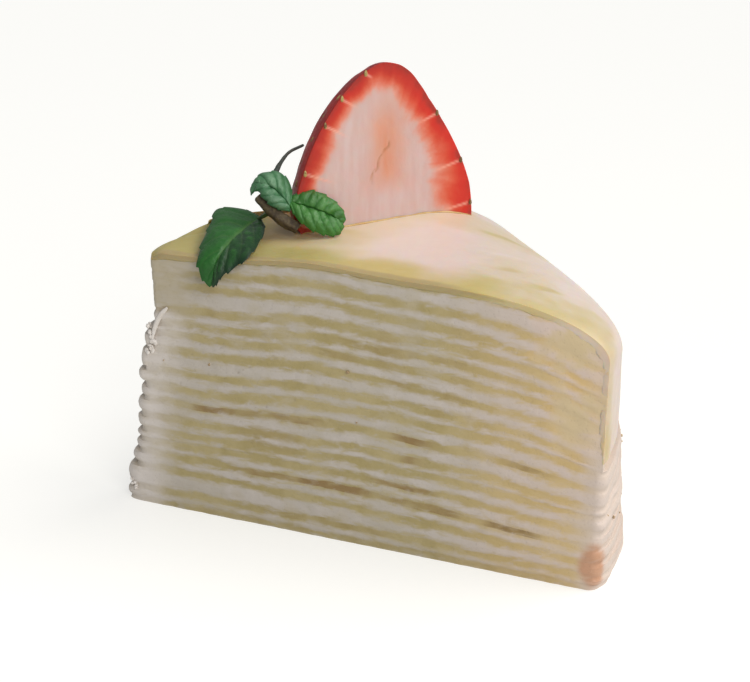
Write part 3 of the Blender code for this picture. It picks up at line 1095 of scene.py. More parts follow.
# ---- The slice's form ------------------------------------------------------------------
@dataclass(frozen=True)
class CakeForm:
    """Plan and height of the slice from the cake's apex, the same as the solids'."""

    half_angle: float = math.radians(22.5)
    near_radius: float = 0.1025
    far_radius: float = 0.1004
    foot_flare: float = 0.0019
    flare_top: float = 0.70
    flare_spread: float = 0.25
    foot_rounding: float = 0.0010
    foot_rounding_top: float = 0.06
    tip_reach_foot: float = 0.0006
    tip_reach_top: float = 0.0096
    tip_far_foot: tuple[float, float] = (0.0060, 0.0076)
    tip_far_top: tuple[float, float] = (0.0194, 0.0123)
    tip_bulge_foot: float = 0.0018
    tip_bulge_top: float = 0.0032
    height: float = 0.0567
    far_rise: float = 0.0021
    tip_sag: float = 0.0006
    tip_sag_reach: float = 0.060
    tip_rounding: float = 0.0006
    tip_rounding_reach: float = 0.04
    near_dome: float = 0.0016
    near_dome_middle: float = 0.043
    near_dome_spread: float = 0.0145
    shoulder_near: float = 0.0107
    shoulder_far: float = 0.0337
    shoulder_start_near: float = 0.0690
    shoulder_start_far: float = 0.0645
    shoulder_spread: float = 0.86
    flat_shoulder_near: float = 0.0090
    flat_shoulder_far: float = 0.0160
    soft_start: float = 0.85
    layer_turn: float = 0.97
    layer_depth: float = 1.08
    crepe: float = 0.00130
    skin: float = 0.00160
    gap: float = 0.0003
    cream_at_tip: tuple[float, ...] = (
        0.00175, 0.00395, 0.00220, 0.00155, 0.00095, 0.00195, 0.00245, 0.00180, 0.00245,
        0.00320, 0.00220, 0.00090, 0.00165, 0.00410, 0.00125, 0.00120)
    cream_at_rim: tuple[float, ...] = (
        0.00090, 0.00185, 0.00220, 0.00220, 0.00265, 0.00095, 0.00290, 0.00290, 0.00110,
        0.00225, 0.00245, 0.00205, 0.00180, 0.00100, 0.00275, 0.00355)
    hem_crepe: int = 9
    hem_lift: float = 0.0007
    hem_wave: float = 0.0008
    hem_waves: float = 9.0
    ripple_size: float = 0.00050
    ripple_waves: tuple[tuple[float, ...], ...] = ((1.0, 7.4, 0.0, 0.0, -2.4), (0.4, 23.0, -9.0, 3.0, 0.0))

    @functools.cached_property
    def levels(self) -> list[tuple[float, float]]:
        """Levels, as shares of the stack, of every surface between layers, at tip and rim.

        Returns:
            A pair of levels for each surface, from the foot up.
        """
        marks = [(0.0, 0.0)]
        tip = rim = 0.0
        for at_tip, at_rim in zip(self.cream_at_tip, self.cream_at_rim):
            for thick_tip, thick_rim in ((self.crepe, self.crepe), (at_tip, at_rim)):
                tip += thick_tip
                rim += thick_rim
                marks.append((tip, rim))
        return [(low / tip, high / rim) for low, high in marks]

    def tip_point(self, across: Array, level: Any) -> Array:
        """Edge of the blunt tip.

        Args:
            across: Shares across the slice.
            level: Level in the stack.

        Returns:
            Places in plan.
        """
        level = np.asarray(level)[..., None]
        reach = mix(self.tip_reach_foot, self.tip_reach_top, level)
        near = reach * np.array((math.cos(self.half_angle), -math.sin(self.half_angle)))
        far = mix(np.array(self.tip_far_foot), np.array(self.tip_far_top), level)
        chord = far - near
        outward = unit(np.stack((-chord[..., 1], chord[..., 0]), -1))
        crown = np.sqrt(np.maximum(0.0, 1.0 - (2.0 * across - 1.0) ** 2))
        bulge = mix(self.tip_bulge_foot, self.tip_bulge_top, level)
        return mix(near, far, across[..., None]) + outward * bulge * crown[..., None]

    def rim_radius(self, across: Array) -> Array:
        """Radius of the cake's side above its foot."""
        return mix(self.near_radius, self.far_radius, across)

    def flare(self, across: Array, level: float) -> Array:
        """How far the side stands out near its foot, less the rounding at the bottom.

        Args:
            across: Shares across the slice.
            level: Level in the stack.

        Returns:
            Distances outwards.
        """
        out = self.foot_flare * ease(across / self.flare_spread)
        low = max(0.0, 1.0 - level / self.foot_rounding_top)
        return out * min(1.0, max(0.0, 1.0 - level / self.flare_top)) - self.foot_rounding * low

    def rim_point(self, across: Array, radius: Array) -> Array:
        """Point of the rim at a radius from the apex."""
        angle = mix(-self.half_angle, self.half_angle, across)
        return np.stack((radius * np.cos(angle), radius * np.sin(angle)), -1)

    def way_out(self, radius: Array, across: Array) -> Array:
        """Share of the way from the top's blunt tip to the rim."""
        start = length_of(self.tip_point(across, 1.0))
        return held((radius - start) / (self.rim_radius(across) - start))

    def crown(self, radius: Array, across: Array) -> Array:
        """Height of the top before its shoulder bends down.

        Args:
            radius: Distances from the apex.
            across: Shares across the slice.

        Returns:
            Heights above the foot.
        """
        height = self.height + self.far_rise * across ** 2
        height = height - self.tip_sag * held(1.0 - radius / self.tip_sag_reach)
        dome = hump(radius, self.near_dome_middle, self.near_dome_spread)
        height = height + self.near_dome * dome * (1.0 - across) ** 3
        rounding = held(1.0 - self.way_out(radius, across) / self.tip_rounding_reach) ** 2
        return height - self.tip_rounding * rounding

    def shoulder_share(self, radius: Array, across: Array, inset: float) -> Array:
        """Share of the way over the shoulder, on the surface an inset below the skin.

        Args:
            radius: Distances from the apex.
            across: Shares across the slice.
            inset: How far below the skin the surface lies.

        Returns:
            Shares from 0 on, with 1 at the rim.
        """
        start = mix(self.shoulder_start_near, self.shoulder_start_far,
                    ease(across / self.shoulder_spread))
        return np.maximum(0.0, (radius - start) / (self.rim_radius(across) - inset - start))

    def shoulder_drop(self, share: Array, across: Array, near: float, far: float) -> Array:
        """Elliptical drop of a shoulder that is near deep at one cut and far at the other."""
        depth = mix(near, far, ease(across / self.shoulder_spread))
        return depth * (1.0 - np.sqrt(1.0 - np.minimum(1.0, share) ** 2))

    def skin_height(self, radius: Array, across: Array, inset: float) -> Array:
        """Height of the top crepe's surface, or of the surface below it.

        Args:
            radius: Distances from the apex.
            across: Shares across the slice.
            inset: How far below the skin the surface lies.

        Returns:
            Heights above the foot.
        """
        share = self.shoulder_share(radius, across, inset)
        drop = self.shoulder_drop(share, across, self.shoulder_near, self.shoulder_far)
        return self.crown(radius, across) - inset - drop

    def stack_height(self, radius: Array, across: Array, level: Array) -> Array:
        """Height of a full stack that bends like one of its layers.

        Args:
            radius: Distances from the apex.
            across: Shares across the slice.
            level: The layer's level at each place.

        Returns:
            Heights above the foot.
        """
        inset = self.skin + self.gap / 2.0
        share = self.shoulder_share(radius, across, inset)
        tail = 1.0 - self.soft_start
        soft = 1.0 - tail * np.exp((self.soft_start - share) / tail)
        share = np.where(share > self.soft_start, soft, share) * self.layer_turn
        flat = self.shoulder_drop(share, across, self.flat_shoulder_near, self.flat_shoulder_far)
        full = self.shoulder_drop(share, across, self.shoulder_near, self.shoulder_far)
        return self.crown(radius, across) - inset - mix(flat, self.layer_depth * full, level ** 2)

    def boundary(self, index: int, radius: Array, across: Array) -> Array:
        """Height of one surface between layers.

        Args:
            index: The surface's number.
            radius: Distances from the apex.
            across: Shares across the slice.

        Returns:
            Heights above the foot.
        """
        along = self.way_out(radius, across)
        level = mix(*self.levels[index], along)
        wave = sum(size * np.sin(a * along + b * level + c * across + start)
                   for size, a, b, c, start in self.ripple_waves)
        ripple = self.ripple_size * np.sin(math.pi * level) * wave
        return level * self.stack_height(radius, across, level) + ripple

    def hem(self, across: Array) -> Array:
        """Height of the top crepe's lower edge, where it hangs down the side."""
        height = self.boundary(2 * self.hem_crepe - 1, self.rim_radius(across) - self.skin, across)
        return height + self.hem_lift + self.hem_wave * (0.5 + 0.5 * np.sin(self.hem_waves * across + 1.0))

    def across_of(self, places: Array) -> Array:
        """Share of the way from the near cut to the far cut, found by halving.

        Args:
            places: Places in plan.

        Returns:
            Shares from 0 to 1.
        """
        low, high = np.zeros(places.shape[:-1]), np.ones(places.shape[:-1])
        for _ in range(24):
            across = 0.5 * (low + high)
            tip = self.tip_point(across, 1.0)
            run = self.rim_point(across, self.rim_radius(across)) - tip
            aside = places - tip
            beyond = run[..., 0] * aside[..., 1] - run[..., 1] * aside[..., 0] > 0.0
            low, high = np.where(beyond, across, low), np.where(beyond, high, across)
        return 0.5 * (low + high)

    def top_at(self, places: Array) -> Array:
        """Height of the cake's top at places in plan."""
        across = self.across_of(places)
        return self.skin_height(np.minimum(length_of(places), self.rim_radius(across)), across, 0.0)

    def apex_in_frame(self) -> Vector:
        """Where the apex lies in the frame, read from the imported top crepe's box.

        Returns:
            The place.
        """
        _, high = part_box("top_crepe")
        middle, corner = (self.rim_point(share, self.rim_radius(share)) for share in np.array((0.5, 1.0)))
        return Vector((high.x - float(middle[0]), high.y - float(corner[1]), 0.0))


FORM = CakeForm()


class LayerKind(Enum):
    """The two kinds of layer in the stack."""

    CREPE = "crepe"
    CREAM = "cream"


@dataclass
class SlicePath:
    """Path round a layer's outline, in shares along and across the slice, with round corners."""

    corner: float
    spacing: float = 0.36 * MM
    length: float = 95.0 * MM
    rim_width: float = 78.0 * MM
    tip_width: float = 14.0 * MM
    corner_steps: int = 9

    def points(self) -> tuple[Array, Array]:
        """Shares along and across, once round: near cut, rim, far cut, tip.

        Returns:
            The shares along, and the shares across.
        """
        turn_along, at_rim, at_tip = (self.corner / side for side in (self.length, self.rim_width,
                                                                      self.tip_width))
        sides = (
            ((turn_along, 0.0), (1.0 - turn_along, 0.0), self.length),
            ((1.0, at_rim), (1.0, 1.0 - at_rim), self.rim_width),
            ((1.0 - turn_along, 1.0), (turn_along, 1.0), self.length),
            ((0.0, 1.0 - at_tip), (0.0, at_tip), self.tip_width),
        )
        path: list[Array] = []
        for number, (start, end, length) in enumerate(sides):
            steps = max(8, round(length / self.spacing))
            path.append(mix(np.array(start), np.array(end), np.linspace(0.0, 1.0, steps)[:, None]))
            path.append(self.turn(np.array(end), np.array(sides[(number + 1) % 4][0]), number))
        run = np.vstack(path)
        return run[:, 0], run[:, 1]

    def turn(self, start: Array, end: Array, number: int) -> Array:
        """Quarter of an ellipse between two sides.

        Args:
            start: The end of the side before the corner.
            end: The start of the side after it.
            number: The corner's number.

        Returns:
            The points between the two.
        """
        angle = np.linspace(0.0, math.pi / 2.0, self.corner_steps + 2)[1:-1, None]
        leading = np.array((1.0, 0.0) if number % 2 == 0 else (0.0, 1.0))
        return start + (end - start) * (leading * np.sin(angle) + (1.0 - leading) * (1.0 - np.cos(angle)))


@dataclass(frozen=True)
class BrownedStretch:
    """A stretch of one crepe's near cut edge that the pan browned, in millimetres from the apex."""

    crepe: int
    start: float
    end: float
    strength: float


@dataclass(frozen=True)
class EdgeStainsAndLight:
    """Where the layers' edges are stained, and where they are painted lighter and warmer towards the rim as
    light: a range from none to full for each, in millimetres.
    """

    jag: float = 1.5 * MM
    wide_jag: float = 3.0 * MM
    tip_slope: float = 9.0 / 57.0
    hanging: Span = (24, 36)
    fold: Span = (88, 98.5)
    # Painted light: over this range the edge is painted lighter and warmer towards the rim.
    lighter_to_rim: Span = (55, 92)
    rosy_side: Span = (80, 93)
    first_rosy: int = 15
    low_fold: Span = (98, 101.5)
    corner: Span = (96, 101)
    milk: Span = (3, 13)
    milk_top: Span = (42, 46)
    tip_smear: Span = (2, 13)
    corner_smear: Span = (97, 101)
    high_smear: Span = (14, 20)
    high_smear_foot: Span = (43, 47)
    before_browned: Span = (-4, 3)
    after_browned: Span = (-3, 5)
    usual_brown: Span = (0.10, 0.7)
    caramel_spot: Point = (93.7 * MM, -38.8 * MM, 5.0 * MM)
    caramel_shape: Point = (1.5, 1.0, 0.75)
    caramel: Span = (1.82, 5.2)


@dataclass
class LayerSheet:
    """One crepe or one cream layer: an uneven edge all round, over smooth inner faces."""

    number: int
    kind: LayerKind
    cut_out: float
    tip_out: float
    rim_out: float
    tip_back: float
    browned: tuple[BrownedStretch, ...] = ()
    row_height: float = 0.28 * MM
    overlap: float = 0.02 * MM
    rings: tuple[float, ...] = (0.93, 0.86, 0.77, 0.66, 0.52, 0.36, 0.18)
    coarser: int = 8
    end_reach: float = 3.0
    length: float = 95.0 * MM
    foot_bulge: float = 1.3 * MM
    foot_bulge_top: float = 0.30
    under_hem: float = 0.52
    under_near_hem: float = 0.28
    hidden_corner: float = 0.15 * MM
    open_corner: float = 1.6 * MM
    lid_overlap: float = 0.12 * MM
    lid_ragged: float = 0.30 * MM
    lid_fold: float = 0.55 * MM
    slow_wave: float = 0.30 * MM
    quick_wave: float = 0.17 * MM
    calm_wave: float = 0.35
    tip_lobes: float = 0.35 * MM
    rim_lobes: float = 0.30 * MM
    grain: float = 0.13 * MM
    drag: float = 0.06 * MM
    pit_depth: float = 0.28 * MM
    pit_cluster: tuple[float, float] = (30.0 * MM, 33.0 * MM)
    pit_spread: tuple[float, float] = (16.0 * MM, 10.0 * MM)
    lobe_size: float = 4.5 * MM
    calm_heights: Span = (42, 46)
    wide_pits: tuple[float, float, float] = (1.7 * MM, 0.12, 0.20)
    small_pits: tuple[float, float, float] = (0.8 * MM, 0.30, 0.22)
    stains_and_light: EdgeStainsAndLight = EdgeStainsAndLight()

    @property
    def index(self) -> int:
        """Number of the surface below this layer, from the foot up."""
        return 2 * (self.number - 1) + (self.kind is LayerKind.CREAM)

    @property
    def top_index(self) -> int:
        """Number of the stack's topmost surface."""
        return 2 * len(FORM.cream_at_tip)

    @property
    def level(self) -> float:
        """The layer's level at the tip, as a share of the stack."""
        return FORM.levels[self.index][0]

    @property
    def under_skin(self) -> bool:
        """Whether the layer ends behind the hanging top crepe."""
        return self.index >= 2 * FORM.hem_crepe - 1

    def rim(self, across: Array) -> Array:
        """Where the layer's rim would be.

        Args:
            across: Shares across the slice.

        Returns:
            Places in plan.
        """
        radius = FORM.rim_radius(across)
        if self.under_skin:
            hidden = mix(self.under_near_hem, self.under_hem, window(across, 0.01, 0.06))
            return FORM.rim_point(across, radius - hidden * FORM.skin)
        bulge = self.foot_bulge * (1.0 - window(across, 0.12, 0.45)) * window(across, 0.0, 0.06)
        low = max(0.0, 1.0 - self.level / self.foot_bulge_top)
        return FORM.rim_point(across, radius + FORM.flare(across, self.level) + bulge * low)

    def reach(self, across: Array) -> Array:
        """How far out the layer's foot meets the top crepe from below, found by halving.

        Args:
            across: Shares across the slice.

        Returns:
            Shares of the way to the rim.
        """
        if not self.under_skin:
            return np.ones_like(across)
        tip, rim = FORM.tip_point(across, self.level), self.rim(across)
        low, high = np.full(across.shape, 0.5), np.ones(across.shape)

        def clear(along: Array) -> Array:
            """Whether the layer's foot still lies under the top crepe."""
            radius = length_of(mix(tip, rim, along[:, None]))
            return FORM.boundary(self.index, radius, across) <= FORM.skin_height(radius, across, FORM.skin)

        whole = clear(np.ones_like(across))
        for _ in range(20):
            middle = 0.5 * (low + high)
            inside = clear(middle)
            low, high = np.where(inside, middle, low), np.where(inside, high, middle)
        return np.where(whole, 1.0, low)

    def wave(self, index: int, places: Array) -> Array:
        """Uneven height of one surface between layers, shared by the layers that touch there.

        Args:
            index: The surface's number.
            places: Places in plan.

        Returns:
            Heights to add.
        """
        if index == 0:
            return np.zeros(places.shape[:-1])
        spots = raised(places / (9.0 * MM), np.full(places.shape[:-1], 3.7 * index))
        slow = NOISE.smooth(spots) * self.slow_wave
        quick = NOISE.rough(spots * np.array((3.1, 3.1, 1.0))) * self.quick_wave
        return (slow + quick) * (self.calm_wave if index >= self.top_index - 1 else 1.0)

    def surface(self, index: int, places: Array, across: Array) -> Array:
        """Height of a surface between layers, with its unevenness.

        Args:
            index: The surface's number.
            places: Places in plan.
            across: Their shares across the slice.

        Returns:
            Heights above the foot.
        """
        if index == 0:
            return np.zeros(places.shape[:-1])
        radius = length_of(places)
        lid = FORM.skin_height(np.minimum(radius, FORM.rim_radius(across)), across, FORM.skin)
        near = 1.0 - window(across, 0.01, 0.03)
        ragged = NOISE.rough(raised(places / (2.8 * MM), np.full(places.shape[:-1], 1.9 * index)))
        fold = self.lid_fold * rise(radius, 86, 98)
        lid = lid + self.lid_overlap + near * (self.lid_ragged * ragged + fold)
        if index == self.top_index:
            return lid
        height = FORM.boundary(index, radius, across) + self.wave(index, places)
        return np.minimum(height, lid) if self.under_skin else height

    def spots(self, along: Array, across: Array) -> Array:
        """Places of the layer.

        Args:
            along: Shares of the way from its tip to its rim.
            across: Shares across the slice.

        Returns:
            Places in plan.
        """
        still = 0.0 * across
        sway = NOISE.smooth(np.stack((4.0 * across, 0.3 * self.index + still, still), -1))
        start = self.tip_back / self.length * (0.7 + 0.6 * across * sway)
        share = (start + (1.0 - start) * along) * self.reach(across)
        return mix(FORM.tip_point(across, self.level), self.rim(across), share[:, None])

    def build(self, shift: Vector, finish: bpy.types.Material) -> bpy.types.Object:
        """Makes the layer's piece.

        Args:
            shift: Where the cake's apex lies in the frame.
            finish: The material.

        Returns:
            The piece, handed to the frame.
        """
        draft = MeshDraft(f"{self.kind.value}_layer_{self.number:02d}")
        along, across = SlicePath(self.hidden_corner if self.under_skin else self.open_corner).points()
        places = self.spots(along, across)
        low = self.surface(self.index, places, across) - self.overlap * (self.index > 0)
        high = self.surface(self.index + 1, places, across) + self.overlap
        tangent = unit(np.roll(places, -1, axis=0) - np.roll(places, 1, axis=0))
        outward = np.stack((tangent[:, 1], -tangent[:, 0], np.zeros(len(tangent))), -1)
        rows = max(5, round(float(np.median(high - low)) / self.row_height))
        share = (np.arange(rows + 1) / rows)[:, None]
        band = raised(np.broadcast_to(places, (rows + 1, *places.shape)), mix(low, high, share))
        out, paint = self.relief(band, share, high - low, along, across)
        numbers = draft.add_points(band + outward * out[..., None], **paint)
        draft.grid(numbers, closed=True)
        draft.creases += [numbers[0], numbers[-1]]
        for row, index, turned in ((0, self.index, True), (-1, self.index + 1, False)):
            self.cap(draft, numbers[row], index, along, across, turned)
        return settle(draft.make(shift, finish), self.kind.value, f"{self.kind.value}_{self.number:02d}")

    def relief(self, band: Array, share: Array, thick: Array, along: Array,
               across: Array) -> tuple[Array, dict]:
        """How far the edge stands out, and what is painted on it.

        Args:
            band: Places on the edge, in rows from the foot up.
            share: Each row's share of the layer's thickness.
            thick: The layer's thickness round its edge.
            along: Shares along the slice round the edge.
            across: Shares across the slice round the edge.

        Returns:
            The distance outwards at each place, and the painted values.
        """
        swing = np.abs(2.0 * share - 1.0)
        belly = 1.0 - swing ** 2.5
        tip, rim = (fall(end * self.length, 0.2, self.end_reach)[None, :] for end in (along, 1.0 - along))
        lobes = NOISE.smooth(band / self.lobe_size + 11.0)
        radius, height = length_of(band[..., :2]), band[..., 2]
        calm = 1.0 - 0.85 * rise(height, *self.calm_heights)
        at_tip = calm * (self.tip_out * belly + self.tip_lobes * lobes)
        out = mix(self.cut_out * (1.0 - swing ** 2), at_tip, tip)
        bulging = 0.0 if self.under_skin else 1.0
        out = mix(out, bulging * (self.rim_out * belly + self.rim_lobes * lobes), rim)
        out = out + self.grain * NOISE.grain(band, 3.4, 0.0, 3)
        out = out + self.drag * NOISE.grain(band * np.array((1.0, 1.0, 4.0)), 2.0, 40.0)
        cluster = hump(radius, self.pit_cluster[0], self.pit_spread[0])
        cluster = cluster * hump(height, self.pit_cluster[1], self.pit_spread[1])
        # These pits are sunk into the edge, and the finish also paints them dark as shade.
        cell, share_of_cells, size = self.wide_pits
        shaded_pit = NOISE.pits(band / cell, share_of_cells, size) * mix(0.25, 1.0, cluster)
        cell, share_of_cells, size = self.small_pits
        shaded_pit = np.maximum(shaded_pit, NOISE.pits(band / cell + 9.0, share_of_cells, size) * cluster)
        shaded_pit = shaded_pit * (1.0 - swing ** 6)
        nearest = (1.0 - swing) * 0.5 * thick[None, :] / MM
        inside = nearest if self.kind is LayerKind.CREPE else -nearest
        inside = inside + 0.28 * NOISE.grain(band, 7.0, 90.0)
        return out - self.pit_depth * shaded_pit, {"inside": inside, "shaded_pit": shaded_pit, **self.paint(band, rim, across)}

    def paint(self, band: Array, rim: Array, across: Array) -> dict[str, Array]:
        """Values painted along the edge, for the finish to mix by.

        Args:
            band: Places on the edge, in rows from the foot up.
            rim: How near the rim each place round the edge is, from 0 to 1.
            across: Shares across the slice round the edge.

        Returns:
            The painted values by name.
        """
        at = self.stains_and_light
        uneven = NOISE.grain(band, 5.0, 5.0)
        jag, wide_jag = at.jag * uneven, at.wide_jag * uneven
        near = (1.0 - window(across, 0.02, 0.10))[None, :]
        radius, height = length_of(band[..., :2]), band[..., 2]
        hanging = rise(height, *at.hanging)
        side = rim * (1.0 - near)
        # Peach: the colour of the folds at the rim, and painted light that makes the edge lighter and warmer
        # towards the rim side.
        peach = 0.55 * rise(radius + jag, *at.fold) * mix(0.15, 1.0, hanging)
        peach = peach + 0.45 * rise(radius, *at.lighter_to_rim)
        if self.number >= at.first_rosy:
            peach = np.maximum(peach, 0.95 * rise(radius + 4.0 * MM * uneven, *at.rosy_side))
        blush = (1.0 - hanging) * np.maximum(0.75 * rise(radius + MM * uneven, *at.low_fold),
                                             0.6 * rise(radius + jag, *at.corner))
        blush = np.maximum(blush, 0.75 * side)
        from_tip = radius - at.tip_slope * height
        milk = 0.95 * fall(from_tip + 2.0 * MM * uneven, *at.milk) * fall(height, *at.milk_top)
        smear = strongest(
            0.7 * fall(from_tip + wide_jag, *at.tip_smear), 0.6 * rise(radius + jag, *at.corner_smear),
            fall(radius + wide_jag, *at.high_smear) * rise(height, *at.high_smear_foot),
            0.5 * window(uneven, 0.3, 0.7), 0.85 * side, 0.25 if self.number == 1 else 0.0)
        brown = self.brown(band, radius, near) * (1.0 - 0.7 * rim)
        gap = length_of((band - np.array(at.caramel_spot)) * np.array(at.caramel_shape))
        caramel = fall(gap + jag, *at.caramel)
        return {"peach": held(peach), "blush": held(blush), "smear": held(smear - 0.7 * brown),
                "brown": held(brown), "caramel": caramel, "milk": milk}

    def brown(self, band: Array, radius: Array, near: Array) -> Array:
        """Browning that shows along the edge.

        Args:
            band: Places on the edge, in rows from the foot up.
            radius: Their distances from the apex.
            near: How near the near cut each place round the edge is, from 0 to 1.

        Returns:
            Strengths, from 0 on.
        """
        at = self.stains_and_light
        brown = 0.35 * window(NOISE.grain(band, 11.0, 23.0), *at.usual_brown)
        for stretch in self.browned:
            if stretch.crepe == self.number:
                ends = rise(radius - stretch.start * MM, *at.before_browned)
                ends = ends * fall(radius - stretch.end * MM, *at.after_browned)
                patchy = 0.8 + 0.5 * NOISE.grain(band, 2.6, 33.0)
                brown = np.maximum(brown, stretch.strength * ends * near * patchy)
        return brown

    def cap(self, draft: MeshDraft, rim: Array, index: int, along: Array, across: Array,
            turned: bool) -> None:
        """Closes the layer's top or bottom with coarser and coarser rings.

        Args:
            draft: The layer's mesh.
            rim: Point numbers round its edge.
            index: The surface's number.
            along: Shares along the slice round the edge.
            across: Shares across the slice round the edge.
            turned: Whether the faces look down.
        """
        few = slice(None, None, self.coarser)
        beyond = (-self.overlap if turned else self.overlap) * (index > 0)
        outer = rim
        for number, scale in enumerate(self.rings):
            inner_across = mix(0.5, across[few], scale)
            spots = self.spots(mix(0.5, along[few], scale), inner_across)
            heights = self.surface(index, spots, inner_across) + beyond
            ring = draft.add_points(raised(spots, heights))
            if number == 0:
                draft.zip_loops(outer, ring, turned)
            else:
                draft.grid(np.stack((outer, ring)), closed=True, turned=turned)
            outer = ring
        draft.fan(outer, np.append(spots.mean(axis=0), heights.mean()), turned)


@dataclass
class CakeStack:
    """Sixteen crepes with cream above each."""

    seed: int = 11
    cream_cut: float = 0.15 * MM
    crepe_cut: float = -0.06 * MM
    crepe_tuck: float = -0.20 * MM
    cream_tip: tuple[float, float] = (0.1 * MM, 0.5 * MM)
    cream_rim: tuple[float, float] = (0.0 * MM, 0.5 * MM)
    crepe_back: tuple[float, float] = (0.3, 0.9)
    cream_back: tuple[float, float] = (-0.3, 0.3)
    last_rough: int = 13
    calm: float = 0.2
    tip_heights: tuple[float, ...] = (0.0, 12.0, 26.0, 34.0, 38.0, 41.0, 44.0, 50.0, 55.0, 58.0)
    tip_backs: tuple[float, ...] = (0.2, 0.4, 0.6, 0.8, 0.6, 1.8, 3.2, 1.9, 0.5, 0.1)
    browned: tuple[BrownedStretch, ...] = (
        BrownedStretch(8, 18, 26, 1.00), BrownedStretch(8, 27, 46, 0.65), BrownedStretch(8, 61, 69, 0.90),
        BrownedStretch(8, 83, 92, 0.55), BrownedStretch(4, 26, 40, 0.65), BrownedStretch(4, 41, 55, 1.10),
        BrownedStretch(4, 57, 75, 0.60), BrownedStretch(4, 80, 90, 0.90), BrownedStretch(5, 57, 69, 0.80),
        BrownedStretch(7, 62, 66, 0.60), BrownedStretch(11, 60, 64, 0.60),
        BrownedStretch(11, 71.5, 74, 0.70), BrownedStretch(12, 43, 53, 0.50),
        BrownedStretch(13, 48, 76, 0.40), BrownedStretch(14, 7.5, 12, 0.80),
        BrownedStretch(2, 30, 60, 0.35), BrownedStretch(1, 10, 95, 0.30))

    def tip_back(self, index: int) -> float:
        """How far the tip of a surface between layers lies back from the solid's, in millimetres."""
        height = FORM.levels[index][0] * FORM.height / MM
        return float(np.interp(height, self.tip_heights, self.tip_backs))

    def build(self, shift: Vector) -> list[bpy.types.Object]:
        """Makes every layer.

        Args:
            shift: Where the cake's apex lies in the frame.

        Returns:
            The layers' pieces, from the foot up.
        """
        chance = np.random.default_rng(self.seed)
        crepe, cream = LayerFinish().build("crepe"), LayerFinish().build("cream")
        pieces = []
        for number in range(1, len(FORM.cream_at_tip) + 1):
            calm = self.calm if number > self.last_rough else 1.0
            back = self.tip_back(2 * number - 2) + calm * chance.uniform(*self.crepe_back)
            flat = LayerSheet(number, LayerKind.CREPE, self.crepe_cut, self.crepe_tuck, self.crepe_tuck,
                              back * MM, self.browned)
            bulges = chance.uniform(*self.cream_tip), chance.uniform(*self.cream_rim)
            back = max(0.0, self.tip_back(2 * number - 1) + calm * chance.uniform(*self.cream_back))
            soft = LayerSheet(number, LayerKind.CREAM, self.cream_cut, *bulges, back * MM)
            pieces += [flat.build(shift, crepe), soft.build(shift, cream)]
        return pieces


